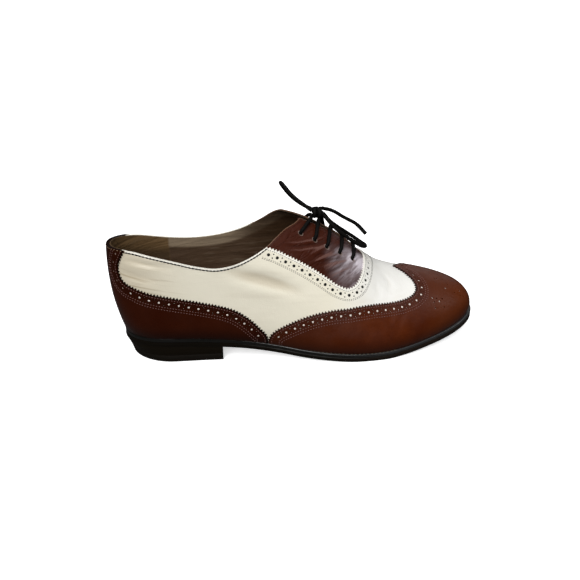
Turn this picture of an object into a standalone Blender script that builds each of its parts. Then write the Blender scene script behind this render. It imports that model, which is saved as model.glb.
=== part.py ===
"""Wingtip oxford, right shoe: a two-tone full brogue with closed lacing.

Frame: +X towards the toe, -Y towards the outer side of the foot, +Z up. The origin is the centre
of the heel's bottom face. The tables are in millimetres on the last's own scale: its x runs from
the fullest point of the back to the toe, and its heights are above the floor.
"""
import bmesh
import bpy
import numpy as np
from mathutils import Vector
from mathutils.geometry import delaunay_2d_cdt

NAME = "wingtip_oxford"
MM = 0.001
HEEL_CENTRE = 49.0

# Driving sizes of the last
LAST_LENGTH = 295.0
LAST_COLUMNS = (
    "x", "axis", "lateral", "medial", "feather", "ridge", "ridge_y", "lateral_full", "medial_full",
)
LAST_SECTIONS = (
    (0, 0.0, 29.0, 29.0, 21.5, 114.0, 0.0, 3.4, 3.4),
    (40, 0.0, 30.5, 30.0, 21.5, 114.0, 0.0, 3.4, 3.4),
    (75, 0.0, 31.5, 29.0, 20.0, 114.0, 0.0, 3.1, 3.1),
    (105, 0.0, 33.5, 27.0, 17.0, 114.0, 0.5, 2.6, 2.8),
    (130, 0.0, 37.0, 27.5, 13.3, 113.0, 1.5, 2.2, 2.6),
    (150, 0.0, 41.5, 30.5, 10.2, 107.0, 2.5, 2.0, 2.5),
    (170, 0.5, 45.5, 35.0, 8.0, 96.5, 3.5, 1.9, 2.4),
    (188, 1.0, 48.0, 39.2, 7.0, 84.2, 4.4, 1.9, 2.3),
    (201, 1.3, 48.4, 41.4, 6.7, 72.3, 4.8, 1.92, 2.3),
    (214, 1.6, 47.8, 42.8, 7.0, 62.5, 5.0, 1.95, 2.3),
    (230, 2.0, 45.6, 43.3, 8.4, 56.0, 5.0, 2.0, 2.3),
    (250, 2.8, 43.0, 43.0, 11.4, 51.6, 4.5, 2.1, 2.3),
    (272, 3.8, 40.8, 42.0, 15.3, 48.6, 4.0, 2.2, 2.4),
    (295, 5.0, 39.0, 40.5, 20.5, 47.5, 4.0, 2.2, 2.4),
)
HEEL_ROUND = 40.0
HEEL_POWER = 2.15
TOE_ROUND_FROM = 214.0
TOE_POWER = 2.25
TOE_TOP_FROM = 236.0
TOE_TOP_POWER = 2.5
BACK_COLUMNS = ("height", "forward")
BACK_CURVE = ((15, 12.0), (20, 10.5), (35, 6.4), (50, 3.4), (65, 1.9), (80, 1.6), (98, 2.6), (125, 6.2))
BACK_FADE = 85.0
SIDE_BULGE = 3.0
SIDE_BULGE_HEIGHT = 13.0
TOE_BULGE = 1.3
TOE_BULGE_HEIGHT = 12.0
TOE_BULGE_FROM = 230.0

# The opening: heights of the top edge, then the slit between the facings
TOPLINE_COLUMNS = ("x", "lateral", "medial")
TOPLINE = (
    (0, 91.5, 91.5),
    (10, 92.0, 90.2),
    (20, 91.5, 88.5),
    (35, 88.3, 85.4),
    (50, 84.3, 83.6),
    (70, 79.0, 83.3),
    (82, 77.2, 84.6),
    (94, 78.5, 87.3),
    (106, 82.7, 91.5),
    (115, 87.2, 96.0),
    (122, 91.5, 100.3),
    (130, 97.8, 106.5),
    (137, 102.2, 111.0),
    (146, 105.0, 116.0),
    (156, 108.0, 120.0),
)
SLIT_COLUMNS = ("x", "half_gap")
SLIT = ((130, 6.4), (150, 5.6), (170, 4.0), (190, 2.3), (203, 0.8))
THROAT = 203.0

# Leather and wall sizes
WALL = 2.2
GAP = 0.3
OVERLAY = 1.0
OVERLAY_GAP = 0.4
FACING_STEP = 0.8
STEP_CLEARANCE = 1.6

# Edges of the laid-on panels, columns x and share: share of the way from feather edge to ridge
WING_LATERAL = (
    (121.3, 0.0), (121.5, 0.045), (122.8, 0.08), (126.1, 0.114), (130, 0.142), (136.6, 0.181), (143.8, 0.221),
    (151, 0.256), (158, 0.284), (165, 0.309), (172, 0.331), (183.4, 0.358), (191.4, 0.386), (199.8, 0.416),
    (208.3, 0.442), (217, 0.463), (225.6, 0.483), (233, 0.51), (237.8, 0.541), (240.7, 0.577),
    (242.3, 0.622), (242.5, 0.68), (241.2, 0.761), (238.7, 0.83), (236.4, 0.888), (233.8, 0.934), (229.5, 1.0),
)
WING_MEDIAL = (
    (124.3, 0.0), (124.5, 0.045), (125.8, 0.08), (129, 0.114), (133, 0.142), (139, 0.181), (146, 0.221),
    (153, 0.256), (160, 0.284), (167, 0.309), (174, 0.331), (184.5, 0.358), (192, 0.386), (200.4, 0.416),
    (208.8, 0.442), (217.4, 0.463), (226, 0.483), (233.4, 0.51), (238.2, 0.541), (241.2, 0.577),
    (242.9, 0.622), (243.1, 0.68), (241.8, 0.761), (239.2, 0.83), (236.8, 0.888), (234, 0.934), (229.5, 1.0),
)
FOXING_LATERAL = (
    (120.3, 0.0), (120.2, 0.045), (119.4, 0.072), (115.1, 0.113), (111.7, 0.143), (105, 0.191),
    (95, 0.239), (84, 0.265), (69.5, 0.288), (54, 0.313), (45, 0.329), (36.7, 0.346), (28.7, 0.366),
    (23.6, 0.385), (19, 0.407), (14.3, 0.433), (11, 0.467), (9.3, 0.514), (8.9, 0.556),
    (10.1, 0.595), (11.8, 0.633), (13.9, 0.666), (15.8, 0.695),
)
FOXING_MEDIAL = (
    (123.3, 0.0), (123.2, 0.045), (122.4, 0.072), (118, 0.11), (113.5, 0.143), (105, 0.191),
    (95, 0.239), (84, 0.265), (69.5, 0.288), (54, 0.313), (45, 0.329), (36.7, 0.346), (28.7, 0.366),
    (23.6, 0.385), (19, 0.407), (14.3, 0.433), (11, 0.467), (9.3, 0.514), (8.9, 0.556),
    (10.1, 0.585), (12, 0.615), (14, 0.645), (15.8, 0.668),
)
FACING_LATERAL = (
    (116, 0.70), (123, 0.676), (130, 0.66), (138, 0.637), (146, 0.616), (154, 0.592), (162, 0.565),
    (169, 0.538), (174, 0.516), (178.5, 0.505), (182.6, 0.502), (186.8, 0.521), (190.5, 0.556),
    (194.4, 0.622), (197.6, 0.70), (199.8, 0.775), (201.5, 0.845), (202.8, 0.91), (203.6, 1.0),
)
FACING_MEDIAL = (
    (113, 0.75), (126, 0.70), (138, 0.655), (150, 0.61), (162, 0.567), (169, 0.54), (174.5, 0.517),
    (179, 0.506), (183, 0.504), (187.2, 0.523), (190.8, 0.558), (194.4, 0.622), (197.6, 0.70),
    (199.8, 0.775), (201.5, 0.845), (202.8, 0.91), (203.6, 1.0),
)

# Bottom: the stack of welt and outsole under the feather edge, and the heel
STACK = 7.0
WELT_THICK = 2.8
WELT_INNER = -3.0
INSOLE_INSET = -3.4
INSOLE_RISE = 1.2
REACH_COLUMNS = ("x", "lateral", "medial")
SOLE_REACH = (
    (0, 1.3, 1.3),
    (60, 1.2, 1.2),
    (110, 1.0, 0.8),
    (150, 1.8, 1.2),
    (190, 2.6, 2.6),
    (240, 2.0, 2.8),
    (295, 3.3, 3.5),
)
HEEL_BREAST = 85.5
TOP_PIECE = 5.7
HEEL_COLUMNS = ("drop", "back_undercut", "side_draw")
HEEL_TAPER = ((0.0, 0.0, 0.4), (0.45, 3.0, 1.1), (1.0, 5.4, 1.3))

# Tongue under the slit
TONGUE_COLUMNS = ("x", "half_width")
TONGUE_PLAN = ((151, 9.0), (154, 14.5), (162, 20.0), (185, 22.5), (212, 19.0))
TONGUE_THICK = 1.6
TONGUE_GAP = 1.6
TONGUE_ROWS = 8

# Lace
LACE_RADIUS = 1.3
# Bars, columns lateral x, lateral share, medial x, medial share
LACE_BARS = (
    (149.0, 0.813, 157.0, 0.83),
    (160.0, 0.797, 170.0, 0.815),
    (169.5, 0.778, 180.0, 0.80),
    (180.0, 0.772, 189.5, 0.79),
    (190.5, 0.772, 197.5, 0.785),
)
BAR_LIFT = 0.9
BAR_POINTS = 9
TOP_BAR_PULL = 6.0
TOP_BAR_RISE = 1.0
KNOT_CENTRE = (164.5, 2.6, 107.4)
KNOT_SIZE = (8.5, 11.0, 8.8)
# Routes of the bow, columns x, y and height
LOOP_BACK = (
    (159.9, 1.7, 109.3), (154.3, 2.9, 113.6), (148.4, 5.2, 117.9), (143.4, 8.2, 122.4), (140.0, 11.2, 126.4),
    (138.4, 13.6, 128.1), (137.5, 16.8, 128.3), (137.7, 19.9, 127.2), (138.8, 22.1, 125.0),
    (140.6, 22.8, 122.3), (142.6, 21.9, 119.8), (146.2, 18.3, 116.2), (150.8, 13.5, 113.2),
    (155.6, 9.2, 111.0), (160.0, 6.0, 109.7),
)
LOOP_FRONT = (
    (169.6, 1.0, 105.4), (176.0, -3.0, 98.0), (184.4, -4.4, 90.6), (193.0, -3.4, 84.0), (200.6, -1.4, 78.8),
    (203.7, 1.4, 77.2), (205.2, 5.4, 76.3), (205.2, 9.4, 76.0), (203.7, 12.7, 76.3), (201.3, 14.8, 77.7),
    (198.6, 15.4, 79.6), (190.5, 13.6, 85.7), (182.7, 10.9, 91.8), (175.5, 7.4, 98.4), (169.8, 4.6, 105.6),
)
END_FRONT = (
    (168.4, 4.4, 110.2), (177.0, 7.6, 106.8), (187.6, 9.8, 99.8), (198.0, 10.6, 93.4), (206.2, 10.6, 84.8),
)
END_INNER = (
    (166.6, 8.1, 106.8), (169.0, 13.6, 102.6), (171.6, 19.4, 95.2), (174.0, 24.4, 85.6), (176.2, 28.4, 75.6),
)
ROUTE_STEP = 4.4

# Mesh counts
BACK_STATIONS = 30
TOE_STATIONS = 14
WALL_ROWS = 11
BACK_CROWDING = 1.5
TOE_CROWDING = 1.6
SECTION_STEPS = 60
SECTION_CROWDING = 1.35
EDGE_STEP = 0.5
EDGE_CLEAR = 0.3
PANEL_FOOT = 0.18
CUTTER_STEP = 6.0
CUTTER_GIRTH = 60.0
TONGUE_STATIONS = 13
SHARP_ANGLE = 40
MERGE_DISTANCE = 0.00002

# Finishes: colour and roughness
FINISHES = {
    "brown_wing": ((0.20, 0.055, 0.025), 0.38),
    "brown_foxing": ((0.13, 0.03, 0.018), 0.38),
    "white_leather": ((0.80, 0.77, 0.68), 0.45),
    "tongue_leather": ((0.10, 0.028, 0.02), 0.5),
    "insole_leather": ((0.30, 0.22, 0.14), 0.6),
    "black_edge": ((0.012, 0.011, 0.011), 0.4),
    "black_heel": ((0.014, 0.013, 0.012), 0.45),
    "black_rubber": ((0.02, 0.02, 0.02), 0.6),
    "black_lace": ((0.012, 0.012, 0.013), 0.55),
}


def smooth_table(table, column, columns, x):
    """A column of a table at x, on cubic curves through its rows."""
    rows = np.array(table, float)
    knots = rows[:, 0]
    values = rows[:, columns.index(column)]
    span = np.diff(knots)
    slope = np.diff(values) / span
    tangent = np.empty_like(values)
    tangent[1:-1] = (slope[:-1] * span[1:] + slope[1:] * span[:-1]) / (span[:-1] + span[1:])
    tangent[0] = slope[0]
    tangent[-1] = slope[-1]
    x = np.clip(x, knots[0], knots[-1])
    i = np.clip(np.searchsorted(knots, x, side="right") - 1, 0, len(span) - 1)
    t = (x - knots[i]) / span[i]
    start = (1 + 2 * t) * (1 - t) ** 2 * values[i] + t * (1 - t) ** 2 * span[i] * tangent[i]
    end = t * t * (3 - 2 * t) * values[i + 1] + t * t * (t - 1) * span[i] * tangent[i + 1]
    return start + end


def last(column, x):
    return smooth_table(LAST_SECTIONS, column, LAST_COLUMNS, x)


def ease(t):
    t = np.clip(t, 0, 1)
    return t * t * (3 - 2 * t)


def closing(x, start, end, power):
    """1 up to start, then rounding to 0 at end."""
    q = np.clip((x - start) / (end - start), 0, 1)
    return (1 - q ** power) ** (1 / power)


def swell(height, peak, top):
    """A soft bulge that is greatest at the height top."""
    return peak * (height / top) * np.exp(1 - height / top)


def plan_closing(x):
    return closing(-x, -HEEL_ROUND, 0, HEEL_POWER) * closing(x, TOE_ROUND_FROM, LAST_LENGTH, TOE_POWER)


def section(x, side):
    """Points of the last's sections at x from feather edge to ridge; side is -1 lateral, 1 medial."""
    x = np.asarray(x, float).reshape(-1, 1)
    angle = np.linspace(0, 1, SECTION_STEPS)[None, :] ** SECTION_CROWDING * np.pi / 2
    name = "lateral" if side < 0 else "medial"
    power = 2 / last(name + "_full", x)
    close = plan_closing(x)
    axis = last("axis", x)
    feather = last("feather", x)
    height = (last("ridge", x) - feather) * closing(x, TOE_TOP_FROM, LAST_LENGTH, TOE_TOP_POWER)
    ridge_y = axis + last("ridge_y", x) * close
    out = np.cos(angle) ** power
    up = height * np.sin(angle) ** power
    edge_y = axis + side * last(name, x) * close
    y = ridge_y + (edge_y - ridge_y + side * swell(up, SIDE_BULGE, SIDE_BULGE_HEIGHT) * close) * out
    z = feather + up
    back = smooth_table(BACK_CURVE, "forward", BACK_COLUMNS, z) * (1 - ease(x / BACK_FADE))
    toe_share = ease((x - TOE_BULGE_FROM) / (LAST_LENGTH - TOE_BULGE_FROM))
    forward = back + swell(up, TOE_BULGE, TOE_BULGE_HEIGHT) * toe_share
    return np.stack([x + forward + 0 * y, y, z], axis=-1)


def arc_lengths(points):
    steps = np.linalg.norm(np.diff(points, axis=1), axis=2)
    return np.concatenate([np.zeros((len(points), 1)), np.cumsum(steps, axis=1)], axis=1)


def wall(x, share, side):
    """Points on the last at x, at a share of the girth from feather edge (0) to ridge (1)."""
    x, share = np.broadcast_arrays(np.atleast_1d(np.asarray(x, float)), np.asarray(share, float))
    points = section(x, side)
    lengths = arc_lengths(points)
    found = np.empty((len(x), 3))
    for row, target in enumerate(share * lengths[:, -1]):
        for axis in range(3):
            found[row, axis] = np.interp(target, lengths[row], points[row, :, axis])
    return found


def girth(x, side):
    return arc_lengths(section(x, side))[:, -1]


def across(x, signed):
    """Points by x and signed distance share from the ridge: -1 lateral feather, 0 ridge, 1 medial feather."""
    x, signed = np.broadcast_arrays(np.atleast_1d(np.asarray(x, float)), np.asarray(signed, float))
    lateral = wall(x, 1 - np.clip(-signed, 0, 1), -1)
    medial = wall(x, 1 - np.clip(signed, 0, 1), 1)
    return np.where((signed < 0)[:, None], lateral, medial)


def top_share(x, side):
    """Share of the girth at the upper's top edge: the collar's height, then the slit, then 1."""
    x = np.atleast_1d(np.asarray(x, float))
    points = section(x, side)
    lengths = arc_lengths(points)
    name = "lateral" if side < 0 else "medial"
    heights = smooth_table(TOPLINE, name, TOPLINE_COLUMNS, x)
    half_gap = smooth_table(SLIT, "half_gap", SLIT_COLUMNS, x)
    shares = np.ones(len(x))
    for row in np.flatnonzero(x < THROAT - 1e-6):
        full = lengths[row, -1]
        at_height = np.interp(heights[row], points[row, :, 2], lengths[row]) / full
        shares[row] = min(at_height, 1 - half_gap[row] / full)
    return shares


def station_x(a):
    """Place along the last of station number a, crowded towards heel and toe."""
    a = np.asarray(a, float)
    back = THROAT * np.clip(a / BACK_STATIONS, 0, 1) ** BACK_CROWDING
    left = np.clip(1 - (a - BACK_STATIONS) / TOE_STATIONS, 0, 1)
    return np.where(a <= BACK_STATIONS, back, LAST_LENGTH - (LAST_LENGTH - THROAT) * left ** TOE_CROWDING)


def station_number(x):
    x = np.asarray(x, float)
    back = BACK_STATIONS * np.clip(x / THROAT, 0, 1) ** (1 / BACK_CROWDING)
    left = np.clip((LAST_LENGTH - x) / (LAST_LENGTH - THROAT), 0, 1) ** (1 / TOE_CROWDING)
    return np.where(x <= THROAT, back, BACK_STATIONS + TOE_STATIONS * (1 - left))


def placed(point):
    return Vector(((point[0] - HEEL_CENTRE) * MM, point[1] * MM, point[2] * MM))


def finish_of(name):
    material = bpy.data.materials.get(name)
    if material:
        return material
    colour, roughness = FINISHES[name]
    material = bpy.data.materials.new(name)
    material.use_nodes = True
    shader = material.node_tree.nodes["Principled BSDF"]
    shader.inputs["Base Color"].default_value = (*colour, 1)
    shader.inputs["Roughness"].default_value = roughness
    shader.inputs["Metallic"].default_value = 0.0
    return material


def object_from(bm, name, finish):
    mesh = bpy.data.meshes.new(name)
    bm.to_mesh(mesh)
    bm.free()
    mesh.shade_smooth()
    mesh.set_sharp_from_angle(angle=np.radians(SHARP_ANGLE))
    mesh.materials.append(finish_of(finish))
    piece = bpy.data.objects.new(name, mesh)
    bpy.data.collections[NAME].objects.link(piece)
    return piece


def thicken(piece, thickness, offset):
    solidify = piece.modifiers.new("wall", "SOLIDIFY")
    solidify.thickness = thickness * MM
    solidify.offset = offset
    solidify.use_even_offset = True
    solidify.use_quality_normals = True


def merge(bm):
    bmesh.ops.remove_doubles(bm, verts=bm.verts, dist=MERGE_DISTANCE)
    bmesh.ops.dissolve_degenerate(bm, edges=bm.edges, dist=MERGE_DISTANCE / 2)


def move_out(bm, distance):
    """Moves a surface along its own normals."""
    bm.normal_update()
    for vert in bm.verts:
        vert.co += vert.normal * (distance * MM)


def wall_rows(a, side):
    """One station of the upper's outer face, from feather edge to top edge."""
    x = float(station_x(a))
    share = np.linspace(0, 1, WALL_ROWS + 1) * top_share(x, side)[0]
    return wall(np.full(WALL_ROWS + 1, x), share, side)


def add_upper():
    """The hollow wall: outer face of the last, thickened inwards, with the facings cut one step lower."""
    bm = bmesh.new()
    for side in (-1, 1):
        grid = []
        for a in range(BACK_STATIONS + TOE_STATIONS + 1):
            grid.append([bm.verts.new(placed(point)) for point in wall_rows(a, side)])
        for here, there in zip(grid, grid[1:]):
            for row in range(WALL_ROWS):
                corners = [here[row], there[row], there[row + 1], here[row + 1]]
                bm.faces.new(corners if side < 0 else corners[::-1])
    merge(bm)
    upper = object_from(bm, "upper", "white_leather")
    thicken(upper, WALL, -1)
    cut = upper.modifiers.new("facing_step", "BOOLEAN")
    cut.operation = "DIFFERENCE"
    cut.object = facing_cutter()
    return upper


def inside(outline, points):
    """Which points lie inside a closed outline."""
    result = np.zeros(len(points), bool)
    previous = outline[-1]
    for corner in outline:
        rises = (corner[1] > points[:, 1]) != (previous[1] > points[:, 1])
        drop = previous[1] - corner[1]
        slope = (previous[0] - corner[0]) / (drop if drop else 1.0)
        result ^= rises & (points[:, 0] < corner[0] + slope * (points[:, 1] - corner[1]))
        previous = corner
    return result


def edge_distance(outline, points):
    """Distance from points to a closed outline."""
    best = np.full(len(points), np.inf)
    for start, end in zip(outline, np.roll(outline, -1, axis=0)):
        run = end - start
        t = np.clip(((points - start) @ run) / max(run @ run, 1e-12), 0, 1)
        best = np.minimum(best, np.linalg.norm(points - start - t[:, None] * run, axis=1))
    return best


def evenly(points, step):
    """Points about one step apart along a smooth curve through the given ones."""
    points = np.array(points, float)
    chord = np.concatenate([[0], np.cumsum(np.linalg.norm(np.diff(points, axis=0), axis=1))])
    fine = np.linspace(0, chord[-1], 40 * len(points))
    columns = tuple(range(points.shape[1] + 1))
    table = np.column_stack([chord, points])
    curve = np.column_stack([smooth_table(table, column, columns, fine) for column in columns[1:]])
    length = np.concatenate([[0], np.cumsum(np.linalg.norm(np.diff(curve, axis=0), axis=1))])
    count = max(2, int(round(length[-1] / step)) + 1)
    wanted = np.linspace(0, length[-1], count)
    return np.column_stack([np.interp(wanted, length, curve[:, k]) for k in range(curve.shape[1])])


def triangles(outline, grid_points):
    """Triangles that fill an outline, on its own points and the grid points inside it."""
    keep = inside(outline, grid_points) & (edge_distance(outline, grid_points) > EDGE_CLEAR)
    points = np.vstack([outline, grid_points[keep]])
    ring = [(k, (k + 1) % len(outline)) for k in range(len(outline))]
    corners = [Vector((float(u), float(v))) for u, v in points]
    found = delaunay_2d_cdt(corners, ring, [], 1, 1e-6)
    places = np.array([tuple(corner) for corner in found[0]])
    faces = [face for face in found[2] if inside(outline, places[list(face)].mean(axis=0)[None, :])[0]]
    return places, faces


def add_faces(bm, faces, points):
    verts = [bm.verts.new(placed(point)) for point in points]
    for face in faces:
        bm.faces.new([verts[k] for k in face])


def row_number(x, share, side):
    """Row of the upper's grid at a share of the girth: 0 lateral feather, 2 * WALL_ROWS medial feather."""
    row = WALL_ROWS * np.minimum(share / top_share(x, side), 1.0)
    return row if side < 0 else 2 * WALL_ROWS - row


def grid_wall(places, sides):
    """Points of the upper's outer face at station and row numbers, on one side or over the ridge on both."""
    x = station_x(places[:, 0])
    points = np.empty((len(x), 3))
    lateral = places[:, 1] <= WALL_ROWS if len(sides) == 2 else np.full(len(x), sides[0] < 0)
    for side in sides:
        mine = lateral if side < 0 else ~lateral
        row = places[mine, 1] if side < 0 else 2 * WALL_ROWS - places[mine, 1]
        points[mine] = wall(x[mine], row / WALL_ROWS * top_share(x[mine], side), side)
    return points


def edge_places(table, side):
    """A panel's edge as station and row numbers."""
    table = np.array(table, float)
    rows = row_number(table[:, 0], table[:, 1], side)
    edge = evenly(np.column_stack([station_number(table[:, 0]), rows]), EDGE_STEP)
    low, high = (PANEL_FOOT, WALL_ROWS) if side < 0 else (WALL_ROWS, foot_row(1))
    edge[:, 1] = np.clip(edge[:, 1], low, high)
    return edge


def foot_row(side):
    """Row of a laid-on panel's lower edge, just clear of the welt."""
    return PANEL_FOOT if side < 0 else 2 * WALL_ROWS - PANEL_FOOT


def straight(start, end):
    count = int(np.ceil(np.abs(np.subtract(end, start)).max())) + 1
    return np.linspace(start, end, count)


def joined(*runs):
    """One closed outline from runs that meet end to start."""
    return np.vstack([run[:-1] for run in runs])


def grid_points():
    """Every station and row number of the upper's grid."""
    stations = np.arange(BACK_STATIONS + TOE_STATIONS + 1)
    a, b = np.meshgrid(stations, np.arange(2 * WALL_ROWS + 1), indexing="ij")
    return np.column_stack([a.ravel(), b.ravel()]).astype(float)


def laid_on(name, outlines, finish):
    """A panel laid on the upper's outer face, filling outlines of station and row numbers."""
    bm = bmesh.new()
    for outline, sides in outlines:
        places, faces = triangles(outline, grid_points())
        add_faces(bm, faces, grid_wall(places, sides))
    merge(bm)
    point_out(bm)
    move_out(bm, OVERLAY_GAP)
    panel = object_from(bm, name, finish)
    thicken(panel, OVERLAY, 1)
    return panel


def point_out(bm):
    """Turns an open surface so that its faces look away from the middle of the last."""
    bmesh.ops.recalc_face_normals(bm, faces=bm.faces)
    outwards = 0.0
    for face in bm.faces:
        centre = face.calc_center_median()
        outwards += face.normal.y * centre.y * face.calc_area()
    if outwards < 0:
        bmesh.ops.reverse_faces(bm, faces=bm.faces)


def add_wing_cap():
    toe = BACK_STATIONS + TOE_STATIONS
    lateral = edge_places(WING_LATERAL, -1)
    medial = edge_places(WING_MEDIAL, 1)[::-1]
    outline = joined(
        lateral, medial,
        straight(medial[-1], (toe, foot_row(1))),
        straight((toe, foot_row(1)), (toe, foot_row(-1))),
        straight((toe, foot_row(-1)), lateral[0]),
    )
    return laid_on("wing_cap", [(outline, (-1, 1))], "brown_wing")


def add_heel_foxing():
    outlines = []
    for side, table in ((-1, FOXING_LATERAL), (1, FOXING_MEDIAL)):
        edge = edge_places(table, side)
        foot = foot_row(side)
        corner = (edge[-1][0], WALL_ROWS)
        outline = joined(
            edge,
            straight(edge[-1], corner),
            straight(corner, (0, WALL_ROWS)),
            straight((0, WALL_ROWS), (0, foot)),
            straight((0, foot), edge[0]),
        )
        outlines.append((outline, (side,)))
    return laid_on("heel_foxing", outlines, "brown_foxing")


def facing_cutter():
    """A skin over the facings and the slit, from one step under the upper's face to above it."""
    lateral = np.array(FACING_LATERAL, float)
    medial = np.array(FACING_MEDIAL, float)[::-1]
    scale = np.array((1.0, CUTTER_GIRTH)) / CUTTER_STEP
    edge_lateral = evenly((lateral - (0, 1)) * scale, 1.0)
    edge_medial = evenly((medial * (1, -1) + (0, 1)) * scale, 1.0)
    outline = joined(edge_lateral, edge_medial, straight(edge_medial[-1], edge_lateral[0]))
    low = np.floor(outline.min(axis=0))
    high = np.ceil(outline.max(axis=0))
    u, v = np.meshgrid(np.arange(low[0], high[0]), np.arange(low[1], high[1] + 1), indexing="ij")
    places, faces = triangles(outline, np.column_stack([u.ravel(), v.ravel()]))
    places = places / scale
    bm = bmesh.new()
    add_faces(bm, faces, across(places[:, 0], places[:, 1]))
    merge(bm)
    point_out(bm)
    move_out(bm, -FACING_STEP)
    cutter = object_from(bm, "facing_step_cutter", "tongue_leather")
    thicken(cutter, FACING_STEP + STEP_CLEARANCE, 1)
    bpy.data.collections[NAME].objects.unlink(cutter)
    bpy.data.collections[NAME + "_cutters"].objects.link(cutter)
    cutter.hide_render = True
    cutter.display_type = "WIRE"
    return cutter


def feather_stations(limit=LAST_LENGTH):
    """Stations of the bottom outline, from the back to the toe or to a limit along the last."""
    stations = station_x(np.arange(BACK_STATIONS + TOE_STATIONS + 1))
    stations = stations[stations < limit - 1]
    return np.append(stations, limit)


def bottom_outline(stations, reach):
    """Plan of the feather edge moved out by reach: back point, lateral side, medial side reversed.

    Gives rows of x, y and the station's own x; the two sides are numbered alike from the back.
    """
    lateral = section(stations, -1)[:, 0, :2]
    medial = section(stations, 1)[:, 0, :2]
    ring = np.vstack([lateral, medial[::-1]])
    own = np.concatenate([stations, stations[::-1]])
    reaches = np.concatenate([reach(stations, "lateral"), reach(stations[::-1], "medial")])
    padded = np.vstack([ring[-2], ring, ring[1]])
    tangent = padded[2:] - padded[:-2]
    middle = len(stations)
    closed_toe = np.allclose(lateral[-1], medial[-1])
    for k in (middle - 1, middle):
        before = ring[middle - 2]
        after = ring[middle + 1]
        if closed_toe:
            tangent[k] = after - before
        else:
            tangent[k] = ring[k] - before if k == middle - 1 else after - ring[k]
    tangent[0] = ring[1] - ring[-2]
    tangent[-1] = tangent[0]
    tangent /= np.linalg.norm(tangent, axis=1)[:, None]
    outward = np.column_stack([tangent[:, 1], -tangent[:, 0]])
    return np.column_stack([ring + outward * reaches[:, None], own])


def sole_reach(x, side):
    return smooth_table(SOLE_REACH, side, REACH_COLUMNS, x)


def even_reach(distance):
    return lambda x, side: np.full(len(x), distance)


def feather(x):
    return last("feather", x)


def sole_bottom(x):
    return np.maximum(feather(x) - STACK, 0.0)


def add_loft(name, rings, finish):
    """A solid through rings of like count, closed at both ends by strips from side to side."""
    bm = bmesh.new()
    levels = []
    for ring in rings:
        levels.append([bm.verts.new(placed(point)) for point in ring])
    count = len(rings[0])
    half = count // 2
    for upper, lower in zip(levels, levels[1:]):
        for k in range(count):
            after = (k + 1) % count
            bm.faces.new([upper[k], lower[k], lower[after], upper[after]])
    for level in (levels[0], levels[-1]):
        for k in range(half - 1):
            bm.faces.new([level[k], level[k + 1], level[count - 2 - k], level[count - 1 - k]])
    merge(bm)
    bmesh.ops.recalc_face_normals(bm, faces=bm.faces)
    return object_from(bm, name, finish)


def plate_rings(outline, top, bottom):
    rings = []
    for height in (top, bottom):
        rings.append(np.column_stack([outline[:, :2], height(outline[:, 2])]))
    return rings


def add_outsole():
    outline = bottom_outline(feather_stations(), sole_reach)
    rings = plate_rings(outline, lambda x: feather(x) - GAP - WELT_THICK - GAP, sole_bottom)
    return add_loft("outsole", rings, "black_edge")


def add_insole():
    outline = bottom_outline(feather_stations(), even_reach(INSOLE_INSET))
    rings = plate_rings(outline, lambda x: feather(x) + INSOLE_RISE, lambda x: feather(x) - GAP - WELT_THICK)
    return add_loft("insole", rings, "insole_leather")


def add_welt():
    """A strip of even thickness round the feather edge."""
    stations = feather_stations()
    outer = bottom_outline(stations, sole_reach)
    inner = bottom_outline(stations, even_reach(WELT_INNER))
    top = feather(outer[:, 2]) - GAP
    corners = (
        np.column_stack([outer[:, :2], top]),
        np.column_stack([inner[:, :2], top]),
        np.column_stack([inner[:, :2], top - WELT_THICK]),
        np.column_stack([outer[:, :2], top - WELT_THICK]),
    )
    bm = bmesh.new()
    loops = []
    for corner in corners:
        loops.append([bm.verts.new(placed(point)) for point in corner])
    count = len(outer)
    for here, there in zip(loops, loops[1:] + loops[:1]):
        for k in range(count):
            after = (k + 1) % count
            bm.faces.new([here[k], here[after], there[after], there[k]])
    merge(bm)
    bmesh.ops.recalc_face_normals(bm, faces=bm.faces)
    return object_from(bm, "welt", "black_edge")


def heel_ring(drop, height):
    """One level of the heel: the sole's outline up to the breast, drawn in towards the floor."""
    undercut = smooth_table(HEEL_TAPER, "back_undercut", HEEL_COLUMNS, drop)
    draw = smooth_table(HEEL_TAPER, "side_draw", HEEL_COLUMNS, drop)
    outline = bottom_outline(feather_stations(HEEL_BREAST), sole_reach)
    x = outline[:, 0] + undercut * (1 - ease(outline[:, 0] / HEEL_BREAST))
    y = outline[:, 1] - np.sign(outline[:, 1]) * np.minimum(draw, np.abs(outline[:, 1]))
    return np.column_stack([x, y, height(outline[:, 2])])


def add_heel():
    """The stacked block under the outsole, then the lift that meets the floor."""
    full = float(sole_bottom(0.0)) - GAP
    seam = TOP_PIECE + GAP
    middle = 0.5 * (full + seam)
    rings = [
        heel_ring(0.0, lambda x: sole_bottom(x) - GAP),
        heel_ring(1 - middle / full, lambda x: 0.5 * (sole_bottom(x) - GAP + seam)),
        heel_ring(1 - seam / full, lambda x: np.full(len(x), seam)),
    ]
    add_loft("heel_stack", rings, "black_heel")
    lift = [heel_ring(1 - height / full, lambda x: np.full(len(x), height)) for height in (TOP_PIECE, 0.0)]
    return add_loft("heel_top_piece", lift, "black_rubber")


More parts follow.
